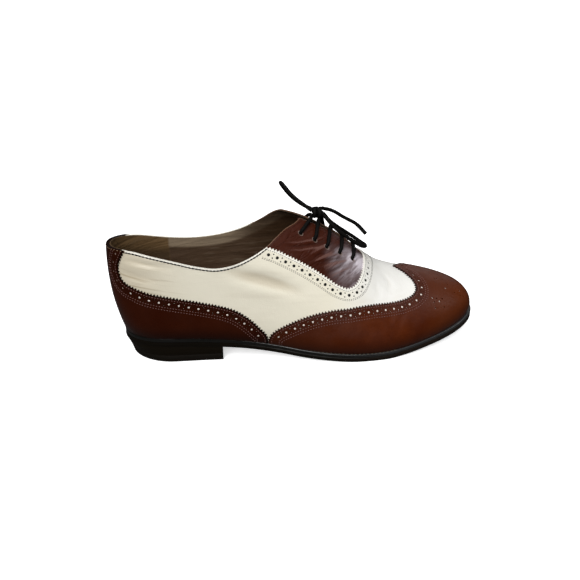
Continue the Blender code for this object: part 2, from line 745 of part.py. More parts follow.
def add_tongue():
    """A sheet under the facings, rounded at its top end."""
    stations = np.linspace(TONGUE_PLAN[0][0], TONGUE_PLAN[-1][0], TONGUE_STATIONS)
    bm = bmesh.new()
    grid = []
    for x in stations:
        half = float(smooth_table(TONGUE_PLAN, "half_width", TONGUE_COLUMNS, x))
        lateral = half / girth(x, -1)[0]
        medial = half / girth(x, 1)[0]
        rows = np.linspace(-1, 1, TONGUE_ROWS + 1)
        signed = np.where(rows < 0, rows * lateral, rows * medial)
        grid.append([bm.verts.new(placed(point)) for point in across(np.full(len(signed), x), signed)])
    for here, there in zip(grid, grid[1:]):
        for row in range(TONGUE_ROWS):
            bm.faces.new([here[row], there[row], there[row + 1], here[row + 1]])
    move_out(bm, -(WALL + TONGUE_GAP))
    tongue = object_from(bm, "tongue", "tongue_leather")
    thicken(tongue, TONGUE_THICK, -1)
    return tongue


def add_cord(name, points):
    """A round lace along points in last millimetres."""
    curve = bpy.data.curves.new(name, "CURVE")
    curve.dimensions = "3D"
    curve.bevel_depth = LACE_RADIUS * MM
    curve.bevel_resolution = 2
    curve.use_fill_caps = True
    curve.materials.append(finish_of("black_lace"))
    spline = curve.splines.new("POLY")
    spline.points.add(len(points) - 1)
    for target, point in zip(spline.points, points):
        target.co = (*placed(point), 1)
    cord = bpy.data.objects.new(name, curve)
    bpy.data.collections[NAME].objects.link(cord)
    return cord


def bar_points(bar):
    """A lace bar over the facings from hole to hole, lying on their stepped face."""
    t = np.linspace(0, 1, BAR_POINTS)
    x = bar[0] + (bar[2] - bar[0]) * t
    signed = (bar[1] - 1) + (2 - bar[1] - bar[3]) * t
    lift = np.full(BAR_POINTS, BAR_LIFT)
    if bar is LACE_BARS[0]:
        pull = np.sin(np.pi * t) ** 1.3
        x = x + TOP_BAR_PULL * pull
        lift = lift + TOP_BAR_RISE * pull
    step = 0.5
    here = across(x, signed)
    along = across(x + step, signed) - across(x - step, signed)
    over = across(x, signed + 0.01) - across(x, signed - 0.01)
    normal = np.cross(along, over)
    normal /= np.linalg.norm(normal, axis=1)[:, None]
    return here + normal * lift[:, None]


def add_knot():
    bm = bmesh.new()
    bmesh.ops.create_uvsphere(bm, u_segments=12, v_segments=8, radius=0.5)
    bmesh.ops.scale(bm, vec=Vector(KNOT_SIZE) * MM, verts=bm.verts)
    bmesh.ops.translate(bm, vec=placed(KNOT_CENTRE), verts=bm.verts)
    return object_from(bm, "lace_knot", "black_lace")


def add_lace():
    for number, bar in enumerate(LACE_BARS, 1):
        add_cord(f"lace_bar_{number}", bar_points(bar))
    add_knot()
    routes = {
        "lace_loop_back": LOOP_BACK,
        "lace_loop_front": LOOP_FRONT,
        "lace_end_front": END_FRONT,
        "lace_end_inner": END_INNER,
    }
    for name, route in routes.items():
        add_cord(name, evenly(route, ROUTE_STEP))


def clear_scene():
    for piece in list(bpy.data.objects):
        bpy.data.objects.remove(piece)
    for name in (NAME, NAME + "_cutters"):
        collection = bpy.data.collections.new(name)
        bpy.context.scene.collection.children.link(collection)


def main():
    clear_scene()
    add_outsole()
    add_welt()
    add_heel()
    add_insole()
    add_upper()
    add_wing_cap()
    add_heel_foxing()
    add_tongue()
    add_lace()


main()
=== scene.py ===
"""Looks of a wingtip oxford, right shoe: a two-tone full brogue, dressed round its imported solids.

Frame: +X towards the toe, -Y towards the outer side of the foot, +Z up, origin at the middle of the
heel's bottom face. The tables are in millimetres on the last's own scale, as in the part's source, and
placed() turns them into metres. A place on the upper is x along the last and a signed share of the
girth: -1 at the lateral feather edge, 0 on the ridge, 1 at the medial feather edge.
"""

import bmesh
import bpy
import numpy as np
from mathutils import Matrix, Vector
from mathutils.geometry import delaunay_2d_cdt


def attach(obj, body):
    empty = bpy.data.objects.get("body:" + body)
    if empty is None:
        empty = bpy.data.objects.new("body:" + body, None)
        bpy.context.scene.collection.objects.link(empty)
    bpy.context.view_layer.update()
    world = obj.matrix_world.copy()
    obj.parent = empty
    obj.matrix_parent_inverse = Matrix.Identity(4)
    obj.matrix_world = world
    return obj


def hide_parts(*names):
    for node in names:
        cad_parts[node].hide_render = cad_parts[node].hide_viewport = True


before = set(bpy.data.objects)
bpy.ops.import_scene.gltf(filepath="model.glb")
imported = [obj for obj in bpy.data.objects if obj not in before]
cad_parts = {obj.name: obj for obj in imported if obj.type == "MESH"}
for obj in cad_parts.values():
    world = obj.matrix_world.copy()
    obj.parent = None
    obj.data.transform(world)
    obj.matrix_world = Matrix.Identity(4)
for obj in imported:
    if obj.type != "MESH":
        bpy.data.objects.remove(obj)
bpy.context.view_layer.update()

MM = 0.001
HEEL_CENTRE = 49.0
SIDE_NAMES = {-1: "lateral", 1: "medial"}
TINY = 1e-9

# Camera, as the photo was taken: lengths in millimetres, angles in degrees
CAMERA_AZIMUTH = -7.5
CAMERA_ELEVATION = 25.0
CAMERA_DISTANCE = 570.0
CAMERA_TARGET = (142.0, -5.0, 45.0)
FRAME_PIXELS = 580.0
FOCAL_PIXELS = 705.0
SENSOR_WIDTH = 36.0
CAMERA_CLIP = 0.01

# Floor in metres, and how much it glows
FLOOR_HALF = 12.0
FLOOR_DROP = 0.0002
FLOOR_GLOW = 0.6

# The sky's strength by a direction's height, overhead and below
SKY_RANGE = {"From Min": 0.6, "From Max": 1.0, "To Min": 0.012, "To Max": 1.1}
FLOOR_RANGE = {"From Min": -0.1, "From Max": -0.7, "To Min": 0.0, "To Max": 0.1}

# Lights: azimuth, elevation and spread in degrees, then strength; place and target in metres
LIGHTS = {
    "front_light": (-22, 40, 40, 2.95),
    "toe_light": (78, 38, 22, 0.35),
    "back_light": (158, 24, 40, 0.22),
}
LIGHT_DISTANCE = 1.5
LIGHT_TARGET = (0.09, 0, 0.04)

# The last, as in the part's source
LAST_LENGTH = 295.0
LAST_COLUMNS = (
    "x", "axis", "lateral", "medial", "feather", "ridge", "ridge_y", "lateral_full", "medial_full",
)
LAST_SECTIONS = (
    (0, 0.0, 29.0, 29.0, 21.5, 114.0, 0.0, 3.4, 3.4),
    (40, 0.0, 30.5, 30.0, 21.5, 114.0, 0.0, 3.4, 3.4),
    (75, 0.0, 31.5, 29.0, 20.0, 114.0, 0.0, 3.1, 3.1),
    (105, 0.0, 33.5, 27.0, 17.0, 114.0, 0.5, 2.6, 2.8),
    (130, 0.0, 37.0, 27.5, 13.3, 113.0, 1.5, 2.2, 2.6),
    (150, 0.0, 41.5, 30.5, 10.2, 107.0, 2.5, 2.0, 2.5),
    (170, 0.5, 45.5, 35.0, 8.0, 96.5, 3.5, 1.9, 2.4),
    (188, 1.0, 48.0, 39.2, 7.0, 84.2, 4.4, 1.9, 2.3),
    (201, 1.3, 48.4, 41.4, 6.7, 72.3, 4.8, 1.92, 2.3),
    (214, 1.6, 47.8, 42.8, 7.0, 62.5, 5.0, 1.95, 2.3),
    (230, 2.0, 45.6, 43.3, 8.4, 56.0, 5.0, 2.0, 2.3),
    (250, 2.8, 43.0, 43.0, 11.4, 51.6, 4.5, 2.1, 2.3),
    (272, 3.8, 40.8, 42.0, 15.3, 48.6, 4.0, 2.2, 2.4),
    (295, 5.0, 39.0, 40.5, 20.5, 47.5, 4.0, 2.2, 2.4),
)
HEEL_ROUND = 40.0
HEEL_POWER = 2.15
TOE_ROUND_FROM = 214.0
TOE_POWER = 2.25
TOE_TOP_FROM = 236.0
TOE_TOP_POWER = 2.5
BACK_COLUMNS = ("height", "forward")
BACK_CURVE = ((15, 12.0), (20, 10.5), (35, 6.4), (50, 3.4), (65, 1.9), (80, 1.6), (98, 2.6), (125, 6.2))
BACK_FADE = 85.0
SIDE_BULGE = 3.0
SIDE_BULGE_HEIGHT = 13.0
TOE_BULGE = 1.3
TOE_BULGE_HEIGHT = 12.0
TOE_BULGE_FROM = 230.0
SECTION_STEPS = 130
SECTION_CROWDING = 1.35
WALL_BATCH = 3000

# The opening, as in the part's source
TOPLINE_COLUMNS = ("x", "lateral", "medial")
TOPLINE = (
    (0, 91.5, 91.5), (10, 92.0, 90.2), (20, 91.5, 88.5), (35, 88.3, 85.4), (50, 84.3, 83.6),
    (70, 79.0, 83.3), (82, 77.2, 84.6), (94, 78.5, 87.3), (106, 82.7, 91.5), (115, 87.2, 96.0),
    (122, 91.5, 100.3), (130, 97.8, 106.5), (137, 102.2, 111.0), (146, 105.0, 116.0), (156, 108.0, 120.0),
)
SLIT_COLUMNS = ("x", "half_gap")
SLIT = ((130, 6.4), (150, 5.6), (170, 4.0), (190, 2.3), (203, 0.8))
THROAT = 203.0
THROAT_END = THROAT - 0.05

# Panel edges, columns x and share: share of the way from feather edge to ridge
WING_LATERAL = (
    (121.3, 0.0), (121.5, 0.045), (122.8, 0.08), (126.1, 0.114), (130, 0.142), (136.6, 0.181), (143.8, 0.221),
    (151, 0.256), (158, 0.284), (165, 0.309), (172, 0.331), (183.4, 0.358), (191.4, 0.386), (199.8, 0.416),
    (208.3, 0.442), (217, 0.463), (225.6, 0.483), (233, 0.51), (237.8, 0.541), (240.7, 0.577),
    (242.3, 0.622), (242.5, 0.68), (241.2, 0.761), (238.7, 0.83), (236.4, 0.888), (233.8, 0.934),
    (229.5, 1.0),
)
WING_MEDIAL = (
    (124.3, 0.0), (124.5, 0.045), (125.8, 0.08), (129, 0.114), (133, 0.142), (139, 0.181), (146, 0.221),
    (153, 0.256), (160, 0.284), (167, 0.309), (174, 0.331), (184.5, 0.358), (192, 0.386), (200.4, 0.416),
    (208.8, 0.442), (217.4, 0.463), (226, 0.483), (233.4, 0.51), (238.2, 0.541), (241.2, 0.577),
    (242.9, 0.622), (243.1, 0.68), (241.8, 0.761), (239.2, 0.83), (236.8, 0.888), (234, 0.934), (229.5, 1.0),
)
FOXING_SHARED = (
    (105, 0.191), (95, 0.239), (84, 0.265), (69.5, 0.288), (54, 0.313), (45, 0.329), (36.7, 0.346),
    (28.7, 0.366), (23.6, 0.385), (19, 0.407), (14.3, 0.433), (11, 0.467), (9.3, 0.514), (8.9, 0.556),
)
FOXING_LATERAL = (
    (120.3, 0.0), (120.2, 0.045), (119.4, 0.072), (115.1, 0.113), (111.7, 0.143), *FOXING_SHARED,
    (10.1, 0.595), (11.8, 0.633), (13.9, 0.666), (15.8, 0.695), (18.5, 0.745),
)
FOXING_MEDIAL = (
    (123.3, 0.0), (123.2, 0.045), (122.4, 0.072), (118, 0.11), (113.5, 0.143), *FOXING_SHARED,
    (10.1, 0.585), (12, 0.615), (14, 0.645), (15.8, 0.668), (18.5, 0.715),
)
FACING_SHARED = (
    (194.4, 0.622), (197.6, 0.70), (199.8, 0.775), (201.5, 0.845), (202.8, 0.91), (203.6, 1.0),
)
FACING_LATERAL = (
    (116, 0.70), (123, 0.676), (130, 0.66), (138, 0.637), (146, 0.616), (154, 0.592), (162, 0.565),
    (169, 0.538), (174, 0.516), (178.5, 0.505), (182.6, 0.502), (186.8, 0.521), (190.5, 0.556),
    *FACING_SHARED,
)
FACING_MEDIAL = (
    (113, 0.75), (126, 0.70), (138, 0.655), (150, 0.61), (162, 0.567), (169, 0.54), (174.5, 0.517),
    (179, 0.506), (183, 0.504), (187.2, 0.523), (190.8, 0.558), *FACING_SHARED,
)

# Leather layers: heights above the last's surface
OVERLAY_TOP = 1.3
OVERLAY_UNDER = 0.05
WHITE_TOP = 0.0
WHITE_UNDER = -0.75
FACING_TOP = -0.8
FACING_UNDER = -1.6
LINING_TOP = -1.65
LINING_UNDER = -2.2
FOLD_UNDER = LINING_TOP + 0.05
FOLD_WIDTH = 4.0
WHITE_FOLD_END = 118
EDGE_SOFTNESS = 0.22
HOLE_SOFTNESS = 0.08

# Brogueing: distances from a panel's edge, sizes and pitches
TOOTH_PITCH = 2.45
TOOTH_DEPTH = 1.65
BIG_HOLE = 1.9
SMALL_HOLE = 0.95
SMALL_HOLE_SPREAD = 1.5
SMALL_BELOW = 1.2
SMALL_CORNERS = 7
BIG_CORNERS = 12
BAND_BIG_HOLE = 2.5
BAND_SMALL_HOLE = 1.15
WHITE_PITCH = 7.05
WING_PITCH = 7.38
FOXING_PITCH = 7.47
WHITE_HOLE_START = (147.6, 0.556)
WING_HOLE_START = (176.7, 0.290)
FOXING_HOLE_START = (75.5, 0.232)
WHITE_BAND_HOLES = 5.0
WHITE_BAND_STITCHES = (1.7, 8.3, 9.2)
BROWN_BAND_HOLES = 5.1
BROWN_BAND_STITCHES = (1.9, 8.0, 10.1)
BAND_TOP_ROOM = 3.4
SOLE_ROOM = 2.0
RIDGE_ROOM = 1.0
BACK_ROOM = 0.8
# Dark rounds in the white band's holes, partly an underlay and partly painted shade: depth, extra width and
# height
UNDERLAY_AND_SHADE = {"depth": 0.75, "extra": 0.5, "height": 0.5}
WHITES = {"depth": 0.8, "extra": 0.1, "height": 0.9}
STITCH_ROW_STEP = 1.0
FACING_STITCH = {"pitch": 1.9, "length": 1.35, "width": 0.42}
FACING_STITCH_DROP = 2.0
FACING_STITCH_STOP = 3.0
BAND_STITCH = {"pitch": 1.7, "length": 1.3, "width": 0.42}
TOPLINE_STITCH = {"pitch": 2.6, "length": 3.1, "width": 1.05}
TOPLINE_STITCH_DROP = 1.5
TOPLINE_STITCH_FROM = 16.0
HEEL_RIM_STITCH = {"pitch": 3.1, "length": 1.3, "width": 0.6}
HEEL_RIM_DROP = 0.7
HEEL_RIM_TO = 15.0
BROWN_STITCH = {"pitch": 2.1, "length": 1.15, "width": 0.55}
LACE_HOLE = 3.7
LACE_HOLE_CORNERS = 16

# Painted shade on the white in the holes: an axis, and the places in metres where the white starts and ends
# to dim
WING_DIM = ("Z", 0.046, 0.055)
MEDALLION_DIM = ("Z", 0.020, 0.060)
FOXING_DIM = ("X", -0.027, -0.038)

# Punched pattern on the toe: x and share
MEDALLION_HOLE = 1.45
MEDALLION_DOT = 1.3
MEDALLION_BIG = ((268.6, 0.633), (282.0, 0.60), (254.2, 0.486), (260.1, 0.432))
MEDALLION_SMALL = (
    (261.8, 0.803), (264, 0.826), (269.4, 0.842), (255.5, 0.355), (263.1, 0.344), (280.8, 0.483),
    (284.2, 0.456), (258, 0.475), (262.9, 0.46), (255.4, 0.43), (272, 0.72), (276, 0.55),
)

# Hidden margins under the overlapping panels
WHITE_BACK = ((7.2, 0.60), (6.0, 0.50), (6.0, 0.30), (10.0, 0.0))
WHITE_BACK_TOP = 11.5
WHITE_FRONT = 256.0
FACING_MARGIN = 9.0
FACING_MEETING = 0.4

# Grid steps of the panels, and steps along their edges
WHITE_STEP = 1.7
FACING_STEP = 1.3
BROWN_STEP = 2.0
LINING_STEP = 3.4
TONGUE_STEP = 2.0
CURVE_STEP = 0.5
OUTLINE_STEP = 2.0
TOP_STEP = 1.2
WING_FOOT_STEP = 1.6

# Creases: side, depth and width, then places as x and share on that side
CREASES = (
    (-1, 0.7, 1.6, ((12, 0.612), (22.3, 0.588), (30.4, 0.566), (39, 0.549), (52, 0.525))),
    (-1, 0.55, 3.2, ((9, 0.545), (17.7, 0.498), (26.6, 0.475), (42, 0.442))),
    (-1, 1.45, 5.0, (
        (86, 0.53), (101, 0.487), (110, 0.471), (119, 0.456), (127, 0.441), (136, 0.428), (152, 0.40),
    )),
    (-1, 0.6, 1.3, ((132, 0.69), (147, 0.717), (162, 0.776), (175, 0.87))),
    (-1, 0.55, 1.3, ((154, 0.64), (164.4, 0.717), (177, 0.815))),
    (-1, 0.55, 1.3, ((158, 0.615), (170.3, 0.685), (186, 0.76))),
    (-1, 0.55, 1.3, ((164, 0.556), (176.2, 0.639), (191, 0.742))),
    (-1, 0.35, 1.8, ((214.7, 0.274), (217.7, 0.361))),
    (-1, 0.4, 2.0, ((221.2, 0.215), (228.6, 0.384), (234, 0.43))),
    (-1, 0.3, 3.0, ((216.7, 0.80), (220.7, 0.685), (218, 0.56))),
    (-1, 0.3, 3.0, ((209, 0.66), (208, 0.54), (202.4, 0.466))),
    (1, 0.5, 2.4, ((16, 0.58), (34, 0.56), (52, 0.52))),
    (1, 1.1, 6.0, ((98, 0.52), (118, 0.48), (140, 0.43))),
    (1, 0.4, 1.5, ((140, 0.70), (156, 0.74), (170, 0.82))),
    (1, 0.4, 1.5, ((158, 0.63), (170, 0.69), (184, 0.76))),
    (1, 0.5, 3.0, ((214, 0.80), (219, 0.68), (217, 0.54))),
    (1, 0.4, 2.0, ((219, 0.22), (226, 0.37), (232, 0.43))),
)
CREASE_RIDGE = 0.22
CREASE_RIDGE_AWAY = 1.9
CREASE_FADE = 0.8

# Bottom, as in the part's source
GAP = 0.3
STACK = 7.0
WELT_THICK = 2.8
WELT_INNER = -3.0
REACH_COLUMNS = ("x", "lateral", "medial")
SOLE_REACH = (
    (0, 1.3, 1.3), (60, 1.2, 1.2), (110, 1.0, 0.8), (150, 1.8, 1.2), (190, 2.6, 2.6), (240, 2.0, 2.8),
    (295, 3.3, 3.5),
)
HEEL_BREAST = 85.5
TOP_PIECE = 5.7
HEEL_COLUMNS = ("drop", "back_undercut", "side_draw")
HEEL_TAPER = ((0.0, 0.0, 0.4), (0.45, 3.0, 1.1), (1.0, 5.4, 1.3))
BOTTOM_STATIONS = 150

# Rounded edges of the bottom: change of the reach, then share of the thickness or height in millimetres
SOLE_EDGE = ((-0.5, 0.0), (-0.1, 0.12), (0.0, 0.3), (0.05, 0.6), (0.0, 0.84), (-0.3, 0.96), (-0.9, 1.0))
WELT_EDGE = ((-0.75, 0.0), (-0.3, 0.05), (0.0, 0.22), (0.08, 0.5), (0.0, 0.8), (-0.35, 0.97), (-0.8, 1.0))
HEEL_EDGE = ((-0.1, 0.0), (0.0, 0.04), (0.0, 0.5), (0.0, 0.96), (-0.1, 1.0))
LIFT_EDGE = ((-0.1, TOP_PIECE), (0.0, TOP_PIECE - 0.2), (0.0, 0.7), (-0.25, 0.2), (-0.7, 0.0))
HEEL_ROUNDING = 0.12
HEEL_ROUNDING_FADE = 40.0
FORE_EDGE = (0.11, 0.19)
WELT_STITCH = {"pitch": 3.2, "length": 2.0, "width": 0.5}
WELT_SEAM = (105, 222)
WELT_SEAM_INSET = 0.85

# Tongue, as in the part's source
TONGUE_COLUMNS = ("x", "half_width")
TONGUE_PLAN = ((151, 9.0), (154, 14.5), (162, 20.0), (185, 22.5), (212, 19.0))
TONGUE_POINTS = 40
TONGUE_TOP = -3.8
TONGUE_UNDER = -5.4

# Lace: routes as in the part's source, a little fuller as in the photo
LACE_RADIUS = 1.5
BAR_COLUMNS = ("lateral_x", "lateral_share", "medial_x", "medial_share")
LACE_BARS = (
    (149.0, 0.813, 157.0, 0.83),
    (160.0, 0.797, 170.0, 0.815),
    (169.5, 0.778, 180.0, 0.80),
    (180.0, 0.772, 189.5, 0.79),
    (190.5, 0.772, 197.5, 0.785),
)
BAR_POINTS = 41
BAR_LIFT = 0.9
TOP_BAR_PULL = 6.0
TOP_BAR_RISE = 1.0
TOP_BAR_POWER = 1.3
HOLE_DIVE = 4.2
HOLE_DIVE_SHARE = 0.085
HOLE_DIVE_POWER = 1.6
LOOP_BACK = (
    (159.9, 1.7, 109.3), (154.3, 2.9, 113.6), (148.4, 5.2, 117.9), (143.4, 8.2, 122.4), (140.0, 11.2, 126.4),
    (138.4, 13.6, 128.1), (137.5, 16.8, 128.3), (137.7, 19.9, 127.2), (138.8, 22.1, 125.0),
    (140.6, 22.8, 122.3), (142.6, 21.9, 119.8), (146.2, 18.3, 116.2), (150.8, 13.5, 113.2),
    (155.6, 9.2, 111.0), (160.0, 6.0, 109.7),
)
LOOP_FRONT = (
    (169.6, 1.0, 105.4), (176.0, -3.0, 98.0), (184.4, -4.4, 90.6), (193.0, -3.4, 84.0), (200.6, -1.4, 78.8),
    (203.7, 1.4, 77.2), (205.2, 5.4, 76.3), (205.2, 9.4, 76.0), (203.7, 12.7, 76.3), (201.3, 14.8, 77.7),
    (198.6, 15.4, 79.6), (190.5, 13.6, 85.7), (182.7, 10.9, 91.8), (175.5, 7.4, 98.4), (169.8, 4.6, 105.6),
)
END_FRONT = (
    (168.4, 4.4, 110.2), (177.0, 7.6, 106.8), (187.6, 9.8, 99.8), (198.0, 10.6, 93.4), (206.2, 10.6, 84.8),
)
END_INNER = (
    (166.6, 8.1, 106.8), (169.0, 13.6, 102.6), (171.6, 19.4, 95.2), (174.0, 24.4, 85.6), (176.2, 28.4, 75.6),
)

# Knot: wraps by shift along it, tilt, half width and half height, then the two strands that they hold
KNOT_CENTRE = (164.5, 2.6, 107.4)
KNOT_WRAPS = ((-2.2, 0.12, 4.1, 3.0), (0.1, -0.35, 4.2, 3.1), (2.3, 0.15, 4.0, 2.9))
KNOT_OVERLAP = 0.2
KNOT_POINTS = 60
KNOT_CORE_RADIUS = 1.7
KNOT_CORES = (
    ((-4.0, -0.75, 1.6), (0.0, -1.2, 0.4), (4.5, -1.5, -1.5)),
    ((-4.0, 3.0, 2.0), (0.0, 1.2, 0.4), (4.6, 1.8, -1.3)),
)

# Tips, braid and mesh of the lace
AGLET_LENGTH = 11.0
AGLET_RADIUS = 1.6
LACE_STEP = 0.45
LACE_SIDES = 20
BRAID_STRANDS = 8
BRAID_LEAD = 6.5
BRAID_DEPTH = 0.07
BRAID_MIDDLE = 0.6
END_BULGE = 0.35

# Meshes: angle of a sharp edge in degrees, merging distances in metres, shares of a grid's step
SHARP_ANGLE = 42
MERGE_DISTANCE = 0.00001
THIN_EDGE = 0.000005
LATTICE_ROW = 0.87
OUTLINE_ROOM = 0.4
HOLE_ROOM = 0.25
CURVE_FINENESS = 40


# The last's surface

def smooth_table(table, column, columns, x):
    """A column of a table at x, on cubic curves through its rows."""
    rows = np.array(table, float)
    knots = rows[:, 0]
    values = rows[:, columns.index(column)]
    span = np.diff(knots)
    slope = np.diff(values) / span
    tangent = np.empty_like(values)
    tangent[1:-1] = (slope[:-1] * span[1:] + slope[1:] * span[:-1]) / (span[:-1] + span[1:])
    tangent[0] = slope[0]
    tangent[-1] = slope[-1]
    x = np.clip(x, knots[0], knots[-1])
    i = np.clip(np.searchsorted(knots, x, side="right") - 1, 0, len(span) - 1)
    t = (x - knots[i]) / span[i]
    start = (1 + 2 * t) * (1 - t) ** 2 * values[i] + t * (1 - t) ** 2 * span[i] * tangent[i]
    end = t * t * (3 - 2 * t) * values[i + 1] + t * t * (t - 1) * span[i] * tangent[i + 1]
    return start + end


def last(column, x):
    return smooth_table(LAST_SECTIONS, column, LAST_COLUMNS, x)


def ease(t):
    t = np.clip(t, 0, 1)
    return t * t * (3 - 2 * t)


def closing(x, start, end, power):
    """1 up to start, then rounding to 0 at end."""
    q = np.clip((x - start) / (end - start), 0, 1)
    return (1 - q ** power) ** (1 / power)


def swell(height, peak, top):
    """A soft bulge that is greatest at the height top."""
    return peak * (height / top) * np.exp(1 - height / top)


def plan_closing(x):
    return closing(-x, -HEEL_ROUND, 0, HEEL_POWER) * closing(x, TOE_ROUND_FROM, LAST_LENGTH, TOE_POWER)


def section(x, side):
    """Points of the last's sections at x from feather edge to ridge; side is -1 lateral, 1 medial."""
    x = np.asarray(x, float).reshape(-1, 1)
    angle = np.linspace(0, 1, SECTION_STEPS)[None, :] ** SECTION_CROWDING * np.pi / 2
    name = SIDE_NAMES[side]
    power = 2 / last(name + "_full", x)
    close = plan_closing(x)
    axis = last("axis", x)
    feather = last("feather", x)
    height = (last("ridge", x) - feather) * closing(x, TOE_TOP_FROM, LAST_LENGTH, TOE_TOP_POWER)
    ridge_y = axis + last("ridge_y", x) * close
    out = np.cos(angle) ** power
    up = height * np.sin(angle) ** power
    edge_y = axis + side * last(name, x) * close
    y = ridge_y + (edge_y - ridge_y + side * swell(up, SIDE_BULGE, SIDE_BULGE_HEIGHT) * close) * out
    z = feather + up
    back = smooth_table(BACK_CURVE, "forward", BACK_COLUMNS, z) * (1 - ease(x / BACK_FADE))
    toe_share = ease((x - TOE_BULGE_FROM) / (LAST_LENGTH - TOE_BULGE_FROM))
    forward = back + swell(up, TOE_BULGE, TOE_BULGE_HEIGHT) * toe_share
    return np.stack([x + forward + 0 * y, y, z], axis=-1)


def arc_lengths(points):
    steps = np.linalg.norm(np.diff(points, axis=1), axis=2)
    return np.concatenate([np.zeros((len(points), 1)), np.cumsum(steps, axis=1)], axis=1)


def run_length(points):
    """Distances of a curve's points from its first one."""
    return np.concatenate([[0], np.cumsum(np.linalg.norm(np.diff(points, axis=0), axis=1))])


def wall(x, share, side):
    """Points on the last at x, at a share of the girth from feather edge (0) to ridge (1)."""
    found = np.empty((len(x), 3))
    for start in range(0, len(x), WALL_BATCH):
        part = slice(start, start + WALL_BATCH)
        points = section(x[part], side)
        lengths = arc_lengths(points)
        target = share[part] * lengths[:, -1]
        i = np.clip((lengths[:, 1:] < target[:, None]).sum(axis=1), 0, SECTION_STEPS - 2)
        row = np.arange(len(points))
        span = np.maximum(lengths[row, i + 1] - lengths[row, i], TINY)
        t = ((target - lengths[row, i]) / span)[:, None]
        found[part] = points[row, i] * (1 - t) + points[row, i + 1] * t
    return found


def surface(x, signed):
    """Points on the last by x and signed share of the girth."""
    points = np.empty((len(x), 3))
    for side in (-1, 1):
        mine = signed < 0 if side < 0 else signed >= 0
        points[mine] = wall(x[mine], 1 - np.abs(signed[mine]), side)
    return points


def top_share(x, side):
    """Share of the girth at the upper's top edge: the collar's height, then the slit, then 1."""
    x = np.atleast_1d(np.asarray(x, float))
    points = section(x, side)
    lengths = arc_lengths(points)
    name = SIDE_NAMES[side]
    heights = smooth_table(TOPLINE, name, TOPLINE_COLUMNS, x)
    half_gap = smooth_table(SLIT, "half_gap", SLIT_COLUMNS, x)
    shares = np.ones(len(x))
    for row in np.flatnonzero(x < THROAT - 1e-6):
        full = lengths[row, -1]
        at_height = np.interp(heights[row], points[row, :, 2], lengths[row]) / full
        shares[row] = min(at_height, 1 - half_gap[row] / full)
    return shares


def placed(points):
    """Metres in the frame from millimetres on the last's scale."""
    return (np.asarray(points, float) - (HEEL_CENTRE, 0, 0)) * MM


# Flat coordinates of the upper, in millimetres

ALONG_SHARE = 0.42
ALONG_X = LAST_LENGTH * (1 - np.cos(np.linspace(0, np.pi, 900))) / 2
ALONG_LINE = wall(ALONG_X, np.full(len(ALONG_X), ALONG_SHARE), -1)
ALONG_U = run_length(ALONG_LINE)
GIRTHS = {side: np.maximum(arc_lengths(section(ALONG_X, side))[:, -1], 1e-6) for side in (-1, 1)}
TOE_POLE = LAST_LENGTH - 0.01
NORMAL_STEP = 0.4


def along(x):
    """Distance along the wall from the back line."""
    return np.interp(x, ALONG_X, ALONG_U)


def station(u):
    """Place on the last's length at a distance along the wall."""
    return np.interp(u, ALONG_U, ALONG_X)


def girth_at(x, sign):
    lateral = np.interp(x, ALONG_X, GIRTHS[-1])
    medial = np.interp(x, ALONG_X, GIRTHS[1])
    return np.where(sign < 0, lateral, medial)


def over_ridge(flat):
    """Places of flat points: distance along the wall, then signed distance from the ridge."""
    x = station(flat[:, 0])
    return x, np.clip(flat[:, 1] / girth_at(x, flat[:, 1]), -1, 1)


def round_heel(flat):
    """Places of flat points: distance from the back line, lateral negative, then height on the wall."""
    x = station(np.abs(flat[:, 0]))
    share = np.clip(flat[:, 1] / girth_at(x, flat[:, 0]), 0, 1)
    return x, np.where(flat[:, 0] < 0, share - 1, 1 - share)


def ridge_flat(table, side):
    """A table of x and share as flat points over the ridge."""
    rows = np.array(table, float)
    return np.column_stack([along(rows[:, 0]), side * (1 - rows[:, 1]) * girth_at(rows[:, 0], side)])


def heel_flat(table, side):
    """A table of x and share as flat points round the heel."""
    rows = np.array(table, float)
    return np.column_stack([side * along(rows[:, 0]), rows[:, 1] * girth_at(rows[:, 0], side)])


def outward(x, signed):
    """Unit normals of the last, looking out."""
    x = np.minimum(x, TOE_POLE)
    u = along(x)
    step = NORMAL_STEP / girth_at(x, signed)
    fore = surface(station(u + NORMAL_STEP), signed)
    aft = surface(station(u - NORMAL_STEP), signed)
    right = surface(x, np.clip(signed + step, -1, 1))
    left = surface(x, np.clip(signed - step, -1, 1))
    normal = np.cross(fore - aft, right - left)
    return normal / np.maximum(np.linalg.norm(normal, axis=1), TINY)[:, None]


def segment_distance(points, start, end):
    """Distance from points to a segment, and how far along it the nearest point lies."""
    run = end - start
    t = np.clip(((points - start) @ run) / max(run @ run, 1e-12), 0, 1)
    return np.linalg.norm(points - start - t[:, None] * run, axis=1), t


def relief(x, signed):
    """Height of the soft troughs and ridges of the creases."""
    flat = np.column_stack([along(x), signed * girth_at(x, signed)])
    height = np.zeros(len(x))
    for side, depth, width, places in CREASES:
        line = ridge_flat(places, side)
        nearest = np.full(len(x), np.inf)
        reached = np.zeros(len(x))
        count = len(line) - 1
        for k in range(count):
            distance, t = segment_distance(flat, line[k], line[k + 1])
            closer = distance < nearest
            nearest = np.where(closer, distance, nearest)
            reached = np.where(closer, (k + t) / count, reached)
        fade = np.sin(np.pi * reached) ** CREASE_FADE
        trough = np.exp(-(nearest / width) ** 2)
        ridges = np.exp(-((nearest - CREASE_RIDGE_AWAY * width) / width) ** 2)
        height -= depth * fade * (trough - CREASE_RIDGE * ridges)
    return height


def lifted(x, signed, level):
    """Points at a level above the creased surface, and the normals there."""
    normal = outward(x, signed)
    return surface(x, signed) + normal * (level + relief(x, signed))[:, None], normal


# Curves in flat coordinates

